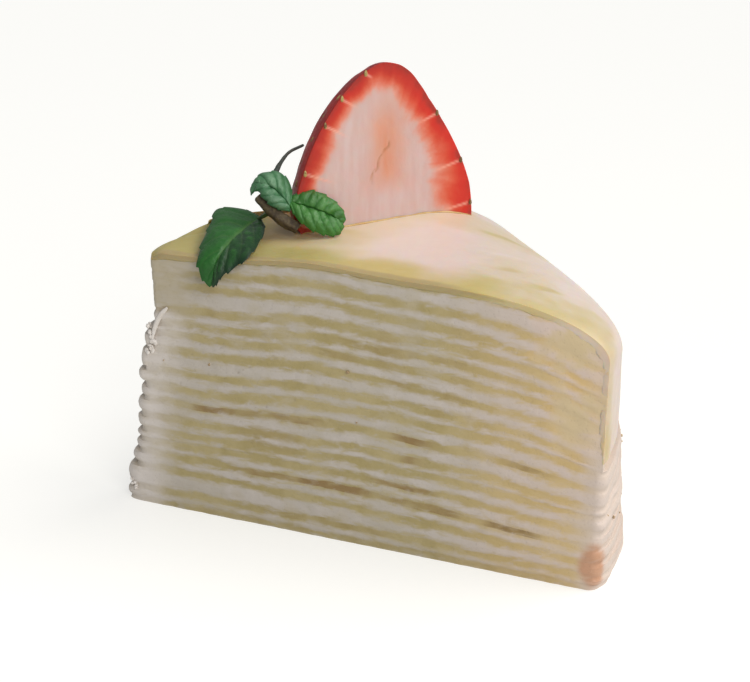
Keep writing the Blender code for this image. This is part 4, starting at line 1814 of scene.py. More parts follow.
@dataclass
class DrapedCrepe:
    """The last crepe, draped over the top and hanging down the side."""

    top_steps: int = 210
    wall_steps: int = 56
    across_steps: int = 150
    edge_rows: int = 4
    step_power: float = 1.5
    crowding: float = 0.7
    edge_round: float = 0.04 * MM
    edge_ragged: float = 0.10 * MM
    hem_thin: float = 0.55
    hem_reach: float = 6.0
    hem_ragged: float = 0.35 * MM
    undulation: float = 0.22 * MM
    fine_grain: float = 0.05 * MM
    pit_depth: float = 0.10 * MM
    edge_drop: float = 0.40 * MM
    edge_reach: float = 2.4 * MM
    reach_from_tip: float = 90.0 * MM
    under_tint: float = 0.6
    yellow_at: tuple[float, ...] = (0, 36, 47, 52, 57, 63, 68, 75, 83, 88, 94, 100)
    yellow_width: tuple[float, ...] = (23, 23, 17, 14.5, 17, 21, 15, 18, 14, 11.5, 16, 24)
    strong_at: tuple[float, ...] = (60, 66, 70, 76, 83, 90, 96)
    strong: tuple[float, ...] = (1.0, 0.75, 0.75, 1.0, 0.7, 0.65, 0.9)
    wall_band: float = 8.0 * MM
    wall: Span = (30, 50)
    on_top: Span = (42, 53)
    yellow_tip: Span = (31, 68)
    yellow_far: Span = (0, 4)
    olive_tip: Span = (16, 44)
    olive_band: Span = (38, 62)
    # Painted sheen: where the pinkish-white sheen grows towards the rim, where it starts, and its two
    # patches.
    sheen_rim: Span = (84, 94)
    sheen_start: Span = (36, 60)
    sheen_spot: tuple[Span, Span] = ((59.0, -2.0), (13.0, 9.0))
    white_sheen_spot: tuple[Span, Span] = ((65.5, -12.0), (6.0, 4.2))
    # Painted shadow under the mint stem: its middle and size.
    stem_shadow_spot: tuple[Span, Span] = ((33.5, 3.5), (9.0, 5.0))
    # Painted shade on the near shoulder and wall: below these heights and within these distances of the near
    # cut.
    shade_below: Span = (44, 56)
    shade_near_cut: Span = (15, 35)
    cut_strip: Span = (0.5, 2.3)
    cut_start: Span = (5, 14)
    cut_end: Span = (62, 84)
    bare_edge_start: Span = (2, 10)
    bare_edge_end: Span = (70, 92)

    def build(self, shift: Vector) -> bpy.types.Object:
        """Makes the draped crepe's piece.

        Args:
            shift: Where the cake's apex lies in the frame.

        Returns:
            The piece, handed to the frame.
        """
        draft = MeshDraft("draped_top_crepe")
        outer, inner = self.sheet(0.0), self.sheet(FORM.skin)
        normal = normals(outer)
        lift = self.undulation * NOISE.grain(outer, 16.0, 60.0)
        lift = lift + self.fine_grain * NOISE.grain(outer, 2.6, 80.0)
        lift = lift - self.pit_depth * NOISE.pits(outer / (5.0 * MM) + 31.0, 0.25, 0.16)
        seen = 1.0 - window(-normal[..., 2], 0.0, 0.4)
        outer = outer + normal * (lift * seen - self.rounding(outer))[..., None]
        paint = self.paint(outer)
        top = draft.add_points(outer, **paint)
        under = draft.add_points(inner, **{name: v * self.under_tint for name, v in paint.items()})
        border = border_of(*top.shape)
        draft.two_faced(top, under, self.edge(draft, outer[border], inner[border], normal[border],
                                              {name: v[border] for name, v in paint.items()}), True)
        draft.creases.append(top[border])
        return settle(draft.make(shift, TopCrepeFinish().build()), "top_crepe", "top_crepe")

    def sheet(self, inset: float) -> Array:
        """Places on the crepe's outer face, or on the face below it.

        Args:
            inset: How far below the outer face the face lies.

        Returns:
            A grid of places, from the tip over the shoulder down to the hem.
        """
        even = np.linspace(0.0, 1.0, self.across_steps + 1)
        crowded = 0.5 - 0.5 * np.cos(math.pi * even)
        across = mix(even, crowded, self.crowding)
        across = np.broadcast_to(across, (self.top_steps + 1, self.across_steps + 1))
        along = 1.0 - (1.0 - np.linspace(0.0, 1.0, self.top_steps + 1)) ** self.step_power
        rim = FORM.rim_point(across, FORM.rim_radius(across) - inset)
        plan = mix(FORM.tip_point(across, 1.0), rim, along[:, None, None])
        heights = FORM.skin_height(length_of(plan), across, inset)
        wave = NOISE.grain(np.repeat(plan[-1, :, :1], 3, axis=-1), 4.0)
        hem = FORM.hem(across[-1]) + self.hem_ragged * wave
        down = np.linspace(0.0, 1.0, self.wall_steps + 1)[1:]
        wall_heights = mix(heights[-1], hem, down[:, None])
        taper = self.hem_thin * fall(wall_heights - hem, 0.0, self.hem_reach)
        wall = FORM.rim_point(across[-1], FORM.rim_radius(across[-1]) - inset * (1.0 - taper))
        return np.concatenate((raised(plan, heights), raised(wall, wall_heights)), 0)

    def rounding(self, places: Array) -> Array:
        """How far the face lies below its plain form near its cut edges and tip.

        Args:
            places: Places on the outer face.

        Returns:
            Distances inwards.
        """
        plan = places[..., :2]
        from_tip = FORM.way_out(length_of(plan), FORM.across_of(plan)) * self.reach_from_tip
        drop = sum(held(1.0 - gap / self.edge_reach) ** 2.2 for gap in (*self.from_cuts(places), from_tip))
        return np.minimum(self.edge_drop * drop, 0.8 * FORM.skin)

    @staticmethod
    def from_cuts(places: Array) -> tuple[Array, Array]:
        """Distance from the near cut and from the far cut.

        Args:
            places: Places in the slice.

        Returns:
            The two distances.
        """
        inward = np.array((math.sin(FORM.half_angle), math.cos(FORM.half_angle)))
        plan = places[..., :2]
        return np.maximum(plan @ inward, 0.0), np.maximum(plan @ (inward * np.array((1.0, -1.0))), 0.0)

    def edge(self, draft: MeshDraft, high: Array, low: Array, normal: Array,
             paint: dict[str, Array]) -> list[Array]:
        """Adds the loops of the crepe's edge between its two faces.

        Args:
            draft: The crepe's mesh.
            high: Places round the border of the outer face.
            low: Places round the border of the inner face.
            normal: The outer face's direction round its border.
            paint: The outer face's painted values round its border.

        Returns:
            The loops' point numbers.
        """
        away = unit(np.cross(np.roll(high, -1, axis=0) - np.roll(high, 1, axis=0), normal))
        radius = length_of(high[:, :2])
        bare = fall(radius, *self.bare_edge_end) * rise(radius, *self.bare_edge_start)
        loops = []
        for step in range(1, self.edge_rows):
            share = step / self.edge_rows
            ragged = self.edge_ragged * NOISE.grain(high, 1.4, share)
            out = self.edge_round * math.sin(math.pi * share) + ragged
            places = mix(low, high, share) + away * out[:, None]
            shade = 0.9 + 0.25 * NOISE.rough(places / np.array((4.0, 4.0, 0.7)) / MM)
            # The painted sheen is weaker on the cut edge.
            values = dict(paint, cut=held(shade * bare), blush=paint["blush"] * mix(0.6, 0.3, bare),
                          yellow=np.minimum(paint["yellow"], mix(0.55, 1.0, bare)))
            loops.append(draft.add_points(places, **values))
        return loops

    def paint(self, places: Array) -> dict[str, Array]:
        """Where the crepe is yellow, olive, toasted or cut, where a pinkish-white sheen is painted, and
        where shade on the near shoulder and a shadow under the mint stem are painted.

        Args:
            places: Places on the outer face.

        Returns:
            The painted values by name.
        """
        plan, height = places[..., :2], places[..., 2]
        radius = length_of(plan)
        from_near, from_far = self.from_cuts(places)
        uneven = MM * NOISE.grain(places, 9.0, 3.0)
        streaks = NOISE.rough(places / (np.array((16.0, 5.0, 16.0)) * MM) + 50.0)
        wall, on_top = fall(height, *self.wall), rise(height, *self.on_top)
        width = np.interp(radius / MM, self.yellow_at, self.yellow_width) * (MM + 0.25 * uneven)
        width = mix(self.wall_band, width, on_top)
        band = mix(0.75, 1.0, on_top) * np.interp(radius / MM, self.strong_at, self.strong)
        band = band * (1.0 - window(from_near, 0.10 * width, width))
        tip = fall(radius + 0.5 * from_near + 5.0 * uneven, *self.yellow_tip)
        # Painted sheen: a whiter patch that takes yellow away and adds to the sheen.
        white = spot(plan, *self.white_sheen_spot) * window(uneven / MM + 0.6, -0.2, 0.5)
        yellow = strongest(band, 0.5 * fall(from_far + 1.5 * uneven, *self.yellow_far), 0.9 * tip,
                           0.5 * window(streaks, 0.15, 0.55)) * (1.0 - 0.9 * white)
        olive = np.maximum(0.85 * fall(radius + 5.0 * uneven, *self.olive_tip),
                           0.7 * band * fall(radius, *self.olive_band))
        # Painted sheen: pinkish-white, growing towards the rim, in streaks and in one broad patch.
        blush = 0.28 + 0.6 * rise(radius + 4.0 * uneven, *self.sheen_rim)
        blush = blush + 0.5 * window(-streaks, 0.15, 0.6) + 0.85 * spot(plan, *self.sheen_spot)
        blush = blush * rise(radius, *self.sheen_start) + white
        # Painted shadow: a brown spot under the mint stem, by the strawberry's left foot.
        stem_shadow = 0.85 * spot(plan, *self.stem_shadow_spot) * (1.0 - wall)
        # Painted shade: the near shoulder and wall, low down by the near cut, are painted darker.
        near_shoulder_shade = 0.20 * fall(height, *self.shade_below) * fall(from_near, *self.shade_near_cut)
        toast_and_shade = 0.35 * window(NOISE.grain(places, 9.0, 71.0, 3), 0.35, 0.8) * wall
        cut = fall(from_near + 0.5 * uneven, *self.cut_strip)
        cut = cut * fall(radius, *self.cut_end) * rise(radius, *self.cut_start)
        # The toast value carries toasted patches together with the painted shade and the painted shadow.
        return {"yellow": held(yellow), "olive": olive, "blush": held(blush, 1.3),
                "toast_and_shade": strongest(toast_and_shade, stem_shadow, near_shoulder_shade), "cut": held(cut)}


# ---- The strawberry --------------------------------------------------------------------
@dataclass
class StrawberryHalf:
    """Half a strawberry on its cut base, its flat face turned to the near cut."""

    foot: tuple[float, float] = (0.0471, 0.0092)
    turn: float = math.radians(27.0)
    middle: float = 0.0080
    left: float = 0.0204
    right: float = 0.0217
    lean: float = 0.0007
    tall: float = 0.0337
    depth: float = 0.0140
    depth_power: float = 2.4
    edge: float = 0.0008
    shoulder: float = 0.12
    shoulder_top: float = 0.20
    left_power: float = 1.68
    right_power: float = 1.57
    taper: float = 0.62
    least_width: float = 0.012
    wobble_shares: tuple[float, ...] = (0.0, 0.10, 0.22, 0.34, 0.48, 0.62, 0.76, 0.86, 0.93, 0.98, 1.0)
    wobble_right: tuple[float, ...] = (0.0, 0.2, 0.4, 0.0, -0.6, -1.1, -1.1, -0.4, 0.4, 0.8, 0.3)
    sink: float = 0.0004
    rows: int = 120
    columns: int = 132
    dimple: float = 0.38 * MM
    dimple_width: float = 0.95 * MM
    swell: float = 0.12 * MM
    seed_rows: int = 8
    widest_row: int = 11
    seed_size: Point = (0.45 * MM, 0.28 * MM, 0.70 * MM)
    seed_sink: float = 0.04 * MM
    seed_sides: int = 10
    rim_seeds_left: tuple[float, ...] = (0.07, 0.38, 0.655, 0.805, 0.945)
    rim_seeds_right: tuple[float, ...] = (0.10, 0.36, 0.66)
    rim_seed_in: tuple[float, float] = (0.30 * MM, 0.10 * MM)
    left_rind: Span = (5.0 * MM, 4.4 * MM)
    right_rind: Span = (9.2 * MM, 6.4 * MM)
    core_width: Span = (5.4 * MM, 2.8 * MM)
    core_start: Span = (0.14, 0.36)
    core_end: Span = (0.58, 0.90)
    ray_middle: Span = (0.0, 11.5 * MM)
    vein_width: Span = (0.26 * MM, 0.14 * MM)
    vein_end: float = 0.9 * MM
    vein_fall_left: float = 0.55
    vein_fall_right: float = 0.36
    vein_fall_foot: float = 0.35
    crack_width: float = 0.17 * MM
    crack_runs: tuple[tuple[Point, ...], ...] = (
        ((1.6, 17.8, 0.0), (1.7, 16.6, 0.0), (0.6, 15.8, 0.0), (0.4, 14.8, 0.0)),
        ((0.0, 15.0, 0.0), (-0.7, 13.8, 0.0), (-1.0, 12.2, 0.0), (-1.6, 11.4, 0.0)),
        ((-1.7, 12.0, 0.0), (-2.3, 10.6, 0.0), (-2.3, 9.0, 0.0)))
    juice_steps: int = 120
    juice_width: float = 0.42 * MM
    juice_lift: float = 0.04 * MM

    @property
    def along_face(self) -> Array:
        """Direction along the cut face, in plan."""
        return np.array((math.cos(self.turn), math.sin(self.turn)))

    @property
    def inward(self) -> Array:
        """Direction from the cut face into the flesh, in plan."""
        return np.array((-math.sin(self.turn), math.cos(self.turn)))

    def half_width(self, share: Array, left: Array) -> Array:
        """Half-width of the cut face.

        Args:
            share: Shares of its height.
            left: Whether the left side is meant.

        Returns:
            Half-widths.
        """
        power = np.where(left, self.left_power, self.right_power)
        width = np.maximum((1.0 - share ** power) ** self.taper, self.least_width)
        tuck = self.shoulder * held(1.0 - share / self.shoulder_top) ** 2
        return width * np.where(left, self.left * (1.0 - tuck), self.right)

    def place(self, share: Array, swing: Array, depth_share: float = 0.0) -> Array:
        """Places on the strawberry.

        Args:
            share: Share of its height.
            swing: Share of its half-width, from -1 at the left to 1 at the right.
            depth_share: 0 on the cut face, 1 on the round skin.

        Returns:
            The places.
        """
        width = self.half_width(share, swing < 0.0)
        wobble = np.interp(share, self.wobble_shares, self.wobble_right) * MM
        offset = self.middle + self.lean * share + swing * width + wobble * held(swing) ** 2
        depth = self.depth * np.sqrt(np.maximum(1.0 - share ** self.depth_power, 1e-4))
        depth = self.edge * width / self.left + depth * np.sqrt(np.maximum(0.0, 1.0 - swing ** 2))
        plan = np.array(self.foot) + self.along_face * offset[..., None]
        plan = plan + self.inward * (depth_share * depth)[..., None]
        return raised(plan, mix(FORM.top_at(plan) - self.sink, FORM.height + self.tall, share))

    def seeds(self) -> Array:
        """Places of the seeds on the round skin, in staggered rows.

        Returns:
            One place for each seed.
        """
        chance = np.random.default_rng(5)
        spots = []
        for row in range(self.seed_rows):
            share = 0.07 + 0.86 * row / (self.seed_rows - 1)
            width = float(self.half_width(np.array(share), np.array(True))) / self.left
            count = max(3, round(self.widest_row * width))
            for number in range(count):
                angle = math.pi * (number + 0.25 + 0.5 * (row % 2)) / count
                height = min(0.965, share + chance.uniform(-0.018, 0.018))
                spots.append((height, -math.cos(angle + chance.uniform(-0.05, 0.05))))
        return self.place(*np.array(spots).T, 1.0)

    def rim_seeds(self) -> list[tuple[Array, float]]:
        """Places of the seeds that the cut passes through, each with its side: -1 left, 1 right.

        Returns:
            A place and a side for each seed.
        """
        sides = ((-1.0, self.rim_seeds_left), (1.0, self.rim_seeds_right))
        return [(self.place(np.array([share]), np.array([side]))[0], side)
                for side, shares in sides for share in shares]

    def build(self, shift: Vector) -> list[bpy.types.Object]:
        """Makes the flesh and its seeds.

        Args:
            shift: Where the cake's apex lies in the frame.

        Returns:
            The strawberry's pieces.
        """
        even = np.linspace(-1.0, 1.0, self.columns + 1)
        crowded = -np.cos(np.linspace(0.0, math.pi, self.columns + 1))
        share = np.sin(np.linspace(0.0, 0.4995 * math.pi, self.rows + 1))
        share, swing = np.broadcast_arrays(share[:, None], mix(crowded, even, 0.35)[None, :])
        face, back = self.place(share, swing), self.place(share, swing, 1.0)
        seeds = self.seeds()
        normal = normals(back)
        normal = normal * np.sign(np.sum(normal * (back - face)))
        back = self.dimpled(back, normal, seeds, swing)
        paint = self.face_paint(face)
        draft = MeshDraft("strawberry_flesh")
        front = draft.add_points(self.face_relief(face, paint), **paint)
        draft.two_faced(front, draft.add_points(back, skin=1.0))
        flesh = settle(draft.make(shift, BerryFinish().build()), "strawberry", "strawberry_half")
        return [flesh, self.seed_piece(shift, seeds, back, normal), self.juice(shift)]

    def dimpled(self, back: Array, normal: Array, seeds: Array, swing: Array) -> Array:
        """The round skin with a dimple at each seed.

        Args:
            back: Places on the smooth skin.
            normal: Its direction outwards.
            seeds: Places of the seeds.
            swing: The places' shares of the half-width.

        Returns:
            The dimpled places.
        """
        dent = strongest(*(hump(length_of(back - seed), 0.0, self.dimple_width) for seed in seeds))
        lift = self.swell * NOISE.grain(back, 6.0) - self.dimple * dent
        return back + normal * (lift * window(1.0 - np.abs(swing), 0.0, 0.03))[..., None]

    def flat(self, places: Array) -> Array:
        """Places on the cut face as distance along it and height above its foot."""
        along = (places[..., :2] - np.array(self.foot)) @ self.along_face - self.middle
        return np.stack((along, places[..., 2] - FORM.height), -1)

    def from_side(self, flat: Array, side: float) -> Array:
        """Distance from one side of the cut face's outline.

        Args:
            flat: Places on the cut face, laid flat.
            side: -1 for the left side, 1 for the right.

        Returns:
            Distances.
        """
        share = np.linspace(0.0, 0.9995, 160)
        edge = self.flat(self.place(share, np.full(share.shape, side)))
        return functools.reduce(np.minimum, (length_of(flat - point) for point in edge))

    def veins(self, flat: Array) -> tuple[Array, Array]:
        """The veins that run inwards from the seeds in the rim.

        Args:
            flat: Places on the cut face, laid flat.

        Returns:
            How strong the veins are, and how far the red reaches in along them.
        """
        vein, scallop = np.zeros(flat.shape[:-1]), np.zeros(flat.shape[:-1])
        for place, side in self.rim_seeds():
            seed = self.flat(place)
            steep = self.vein_fall_left if side < 0.0 else self.vein_fall_right
            fallen = steep * abs(seed[0]) * (self.vein_fall_foot + seed[1] / self.tall)
            run = np.array((self.vein_end, seed[1] - fallen)) - seed
            share = held(((flat - seed) @ run) / (run @ run))
            gap = length_of(flat - seed - share[..., None] * run)
            line = hump(gap, 0.0, mix(*self.vein_width, share))
            vein = np.maximum(vein, line * window(share, 0.02, 0.06) * (1.0 - window(share, 0.20, 0.44)))
            scallop = np.maximum(scallop, hump(gap, 0.0, 1.2 * MM) * (1.0 - window(share, 0.3, 0.7)))
        return vein, scallop

    def face_paint(self, face: Array) -> dict[str, Array]:
        """Rind, core, cracks and veins of the cut face.

        Args:
            face: Places on the cut face.

        Returns:
            The painted values by name.
        """
        flat = self.flat(face)
        height = flat[..., 1] / self.tall
        from_left, from_right = self.from_side(flat, -1.0), self.from_side(flat, 1.0)
        left_band = mix(*self.left_rind, height) + 0.6 * MM * hump(height, 0.95, 0.2)
        right_band = mix(*self.right_rind, height) + 1.5 * MM * hump(height, 0.1, 0.2)
        vein, scallop = self.veins(flat)
        rind = np.minimum(from_left / left_band, from_right / right_band) * (1.0 + 0.22 * scallop)
        rind = rind + 0.06 * NOISE.grain(face, 3.0)
        rind = rind * rise(np.minimum(from_left, from_right), 0.0, 0.40)
        dim = 0.62 * (1.0 - window(flat[..., 0] / self.left + 0.35 * height, -0.55, 0.15))
        dim = np.maximum(dim, 0.5 * window(height, 0.72, 0.95))
        return {"rind": held(rind, 1.4), "core": self.core(flat, height), "dim": dim,
                "rays": self.rays(flat), "vein": vein * 0.75, "crack": self.cracks(flat), "skin": 0.0 * rind}

    def rays(self, flat: Array) -> Array:
        """Fine fibres that run outwards from the core.

        Args:
            flat: Places on the cut face, laid flat.

        Returns:
            Strengths from about -1 to 1.
        """
        away = flat - np.array(self.ray_middle)
        angle = np.arctan2(away[..., 1], away[..., 0])
        spots = np.stack((np.cos(angle) * 14.0, np.sin(angle) * 14.0, length_of(away) / (9.0 * MM)), -1)
        return NOISE.rough(spots)

    def core(self, flat: Array, height: Array) -> Array:
        """The warm spindle in the middle of the flesh.

        Args:
            flat: Places on the cut face, laid flat.
            height: Their shares of its height.

        Returns:
            Strengths from 0 to 1.
        """
        width = mix(*self.core_width, held(height))
        width = width * (1.0 + 0.35 * NOISE.grain(raised(flat, 0.0 * height), 4.0))
        spindle = hump(flat[..., 0], 1.2 * MM - 1.0 * MM * (height - 0.5), width)
        ends = window(height, *self.core_start) * (1.0 - window(height, *self.core_end))
        return held(0.85 * spindle * ends)

    def cracks(self, flat: Array) -> Array:
        """The thin brown cracks of the core.

        Args:
            flat: Places on the cut face, laid flat.

        Returns:
            Strengths from 0 to 1.
        """
        found = np.zeros(flat.shape[:-1])
        for run in self.crack_runs:
            trail = smooth_path(run, np.linspace(0.0, 1.0, 24))[:, :2] * MM
            for number, point in enumerate(trail):
                wide = self.crack_width * (0.35 + math.sin(math.pi * (number + 0.5) / len(trail)))
                found = np.maximum(found, 0.60 * hump(length_of(flat - point), 0.0, wide))
        return found

    def face_relief(self, face: Array, paint: dict[str, Array]) -> Array:
        """The cut face with shallow grain, its core sunk and its cracks open.

        Args:
            face: Places on the flat cut face.
            paint: Its painted values.

        Returns:
            The places with their relief.
        """
        depth = MM * (0.10 * NOISE.grain(face, 4.0, 2.0, 3) + 0.15 * paint["core"]
                      + 0.30 * paint["crack"] - 0.06 * paint["vein"])
        depth = depth * np.minimum(1.0, paint["rind"] * 4.0)
        return face + raised(self.inward * depth[..., None], 0.0 * depth)

    def seed_piece(self, shift: Vector, seeds: Array, back: Array,
                   normal: Array) -> bpy.types.Object:
        """All the seeds as one piece: those of the skin, and those that the cut shows.

        Args:
            shift: Where the cake's apex lies in the frame.
            seeds: Places of the skin's seeds.
            back: Places on the dimpled skin.
            normal: The skin's direction outwards.

        Returns:
            The piece, handed to the frame.
        """
        draft = MeshDraft("strawberry_seeds")
        chance = np.random.default_rng(9)
        for seed in seeds:
            gap = length_of(back - seed)
            nearest = np.unravel_index(int(np.argmin(gap)), gap.shape)
            spot_in_skin = back[nearest] - self.seed_sink * normal[nearest]
            self.add_seed(draft, spot_in_skin, normal[nearest], chance.uniform(0.85, 1.15), 0.3)
        aside, ahead = self.rim_seed_in
        for place, side in self.rim_seeds():
            inside = np.append(-side * aside * self.along_face - ahead * self.inward, 0.0)
            dark = 0.0 if side < 0.0 else 0.8
            self.add_seed(draft, place + inside, np.append(-self.inward, 0.0), 0.95, dark)
        return settle(draft.make(shift, SeedFinish().build()), "strawberry")

    def add_seed(self, draft: MeshDraft, centre: Array, facing: Array, size: float,
                 dark: float) -> None:
        """Adds one teardrop seed that lies in the skin, its point upwards.

        Args:
            draft: The seeds' mesh.
            centre: The seed's middle.
            facing: Direction out of the skin.
            size: Its size, where 1 is the usual one.
            dark: How dark it is, from 0 to 1.
        """
        side = unit(np.cross(np.array((0.0, 0.0, 1.0)), facing))
        up = unit(np.cross(facing, side))
        wide, thick, long = self.seed_size
        circle = side * (np.cos(turns(self.seed_sides)) * wide)[:, None]
        circle = circle + facing * (np.sin(turns(self.seed_sides)) * thick)[:, None]
        shares = np.linspace(0.06, 0.94, 7)[:, None, None]
        rings = circle * np.sin(math.pi * shares) * mix(1.15, 0.55, shares)
        rings = rings - up * np.cos(math.pi * shares) * long
        draft.tube(centre + rings * size, [centre + up * (end * long * size) for end in (-1.0, 1.0)],
                   True, dark=dark)

    def juice(self, shift: Vector) -> bpy.types.Object:
        """A thin line of juice where the cut face meets the crepe.

        Args:
            shift: Where the cake's apex lies in the frame.

        Returns:
            The piece, handed to the frame.
        """
        swing = np.linspace(-1.0, 1.0, self.juice_steps)
        foot = self.place(np.full(self.juice_steps, 0.004), swing)
        foot[:, 2] = FORM.top_at(foot[:, :2]) + self.juice_lift
        wide = self.juice_width * (0.8 + 0.35 * NOISE.grain(foot, 2.5)) * np.sqrt(1.0 - swing ** 8 * 0.9)
        angle = turns(self.seed_sides)
        ring = raised(-self.inward * np.cos(angle)[:, None], 0.8 * np.sin(angle))
        draft = MeshDraft("berry_juice")
        draft.tube(foot[:, None, :] + ring[None, :, :] * wide[:, None, None], (foot[0], foot[-1]), True)
        glaze = PlainFinish((0.50, 0.27, 0.085), (0.58, 0.38, 0.14),
                            Gloss(roughness=0.2, coat=0.3, coat_roughness=0.1), 400.0)
        return settle(draft.make(shift, glaze.build("berry_juice")), "strawberry")


# ---- The mint --------------------------------------------------------------------------
@dataclass
class MintLeaf:
    """A mint leaf between two margins and a midrib in millimetres, quilted between its veins."""

    name: str
    node: str
    rib: tuple[Point, ...]
    left: tuple[Point, ...]
    right: tuple[Point, ...]
    face: Point
    finish: LeafFinish
    # How strongly one half of the leaf is painted dark as shade; its sign picks the half.
    shaded_half: float
    quilt: float
    crinkle: float
    tooth: float
    veins: int = 6
    teeth: int = 6
    thickness: float = 0.30 * MM
    arch: float = 0.8 * MM
    rib_groove: float = 0.25 * MM
    rib_width: float = 0.055
    vein_width: float = 0.16
    rows: int = 110
    columns: int = 64

    def build(self, shift: Vector) -> bpy.types.Object:
        """Makes the leaf's piece.

        Args:
            shift: Where the cake's apex lies in the frame.

        Returns:
            The piece, handed to the frame.
        """
        along = np.linspace(0.0, 1.0, self.rows + 1)
        aside = np.linspace(-1.0, 1.0, self.columns + 1)
        sheet = self.sheet(along, aside)
        normal = normals(sheet)
        down = bool(np.mean(normal @ np.array(self.face)) < 0.0)
        normal = -normal if down else normal
        lift, paint = self.relief(along[:, None], aside[None, :], sheet)
        sheet = sheet + normal * lift[..., None]
        rim = np.minimum(1.0, 4.0 * (1.0 - np.abs(aside)))[None, :]
        ends = np.minimum(1.0, 12.0 * np.minimum(along, 1.0 - along))[:, None]
        half = normal * (0.5 * self.thickness * (0.35 + 0.65 * rim * ends))[..., None]
        draft = MeshDraft(self.name)
        upper = draft.add_points(sheet + half, **paint)
        # The underside gets half of the painted glint.
        lower = draft.add_points(sheet - half, **dict(paint, swell=0.5 * paint["swell"]))
        draft.two_faced(upper, lower, turned=not down)
        return settle(draft.make(shift, self.finish.build(self.name)), "mint_leaf", self.node)

    def sheet(self, along: Array, aside: Array) -> Array:
        """Places of the smooth leaf, with its toothed margins.

        Args:
            along: Shares of the way from its stalk to its point.
            aside: Shares of the way from the rib to the margins, from -1 at the left to 1.

        Returns:
            A grid of places.
        """
        rib = smooth_path(self.rib, along) * MM
        bulge = np.sin(math.pi * along)
        saw = ((along * self.teeth) % 1.0) ** 1.6 - 0.35
        sides = []
        for margin, side in ((self.left, aside[aside < 0.0]), (self.right, aside[aside >= 0.0])):
            edge = smooth_path(margin, along) * MM
            edge = edge + unit(edge - rib + 1e-9) * (self.tooth * saw * bulge ** 0.5)[:, None]
            share = np.abs(side)[None, :, None]
            bow = self.arch * np.sin(math.pi * share) * bulge[:, None, None]
            sides.append(mix(rib[:, None, :], edge[:, None, :], share) + unit(np.array(self.face)) * bow)
        return np.concatenate(sides, 1)

    def relief(self, along: Array, aside: Array, sheet: Array) -> tuple[Array, dict[str, Array]]:
        """Height of the quilting, and what is painted on the leaf.

        Args:
            along: Shares of the way from its stalk to its point.
            aside: Shares of the way from the rib to the margins, from -1 at the left to 1.
            sheet: Places of the smooth leaf.

        Returns:
            Heights to add, and the painted values by name.
        """
        out = np.abs(aside)
        groove = np.abs(np.sin(math.pi * ((along - 0.20 * out ** 1.15) * self.veins + 0.35 * (aside < 0.0))))
        cell = groove ** 0.6
        fade = np.sin(math.pi * along) ** 0.4 * (1.0 - out ** 5)
        wrinkle = NOISE.grain(sheet, 1.5, 0.0, 3)
        rib = hump(out, 0.0, self.rib_width)
        lift = self.quilt * cell * (1.0 - rib) + self.crinkle * wrinkle - self.rib_groove * rib
        side_vein = hump(groove, 0.0, self.vein_width) * (1.0 - out ** 2) * window(out, 0.02, 0.1)
        vein = held(np.maximum(rib, 0.55 * side_vein)) * mix(1.0, 0.4, along)
        # Painted shade: one half of the leaf is painted dark.
        leaf_shade = window(aside * math.copysign(1.0, self.shaded_half), -0.05, 0.25) * abs(self.shaded_half)
        # Painted highlight: where the cells swell, the leaf is painted paler, as glints.
        swell = cell * fade * (0.4 + 0.6 * window(wrinkle, -0.2, 0.5))
        return lift * fade, {"vein": vein, "leaf_shade": leaf_shade + 0.0 * vein, "swell": swell}


@dataclass
class MintStem:
    """A stem along a smooth path, uneven in thickness, with its path and radii in millimetres."""

    name: str
    path: tuple[Point, ...]
    radii: tuple[float, ...]
    finish: PlainFinish
    nodes: tuple[str, ...] = ()
    squareness: float = 0.10
    unevenness: float = 0.12
    rows: int = 60
    sides: int = 20

    def build(self, shift: Vector) -> bpy.types.Object:
        """Makes the stem's piece.

        Args:
            shift: Where the cake's apex lies in the frame.

        Returns:
            The piece, handed to the frame.
        """
        share = np.linspace(0.0, 1.0, self.rows + 1)
        middle = smooth_path(self.path, share) * MM
        ahead = unit(np.gradient(middle, axis=0))
        side = unit(np.cross(ahead, np.array((0.0, 0.0, 1.0))))
        up = np.cross(side, ahead)
        angle = turns(self.sides)
        radius = np.interp(share, np.linspace(0.0, 1.0, len(self.radii)), self.radii) * MM
        wide = radius[:, None] * (1.0 + self.squareness * np.cos(4.0 * angle))
        out = side[:, None, :] * (wide * np.cos(angle))[..., None]
        out = out + up[:, None, :] * (wide * np.sin(angle))[..., None]
        middle_ring = middle[:, None, :]
        out = out * (1.0 + self.unevenness * NOISE.grain(middle_ring + out, 1.2))[..., None]
        draft = MeshDraft(self.name)
        draft.tube(middle_ring + out, (middle[0], middle[-1]), True)
        return settle(draft.make(shift, self.finish.build(self.name)), "mint_stem", *self.nodes)


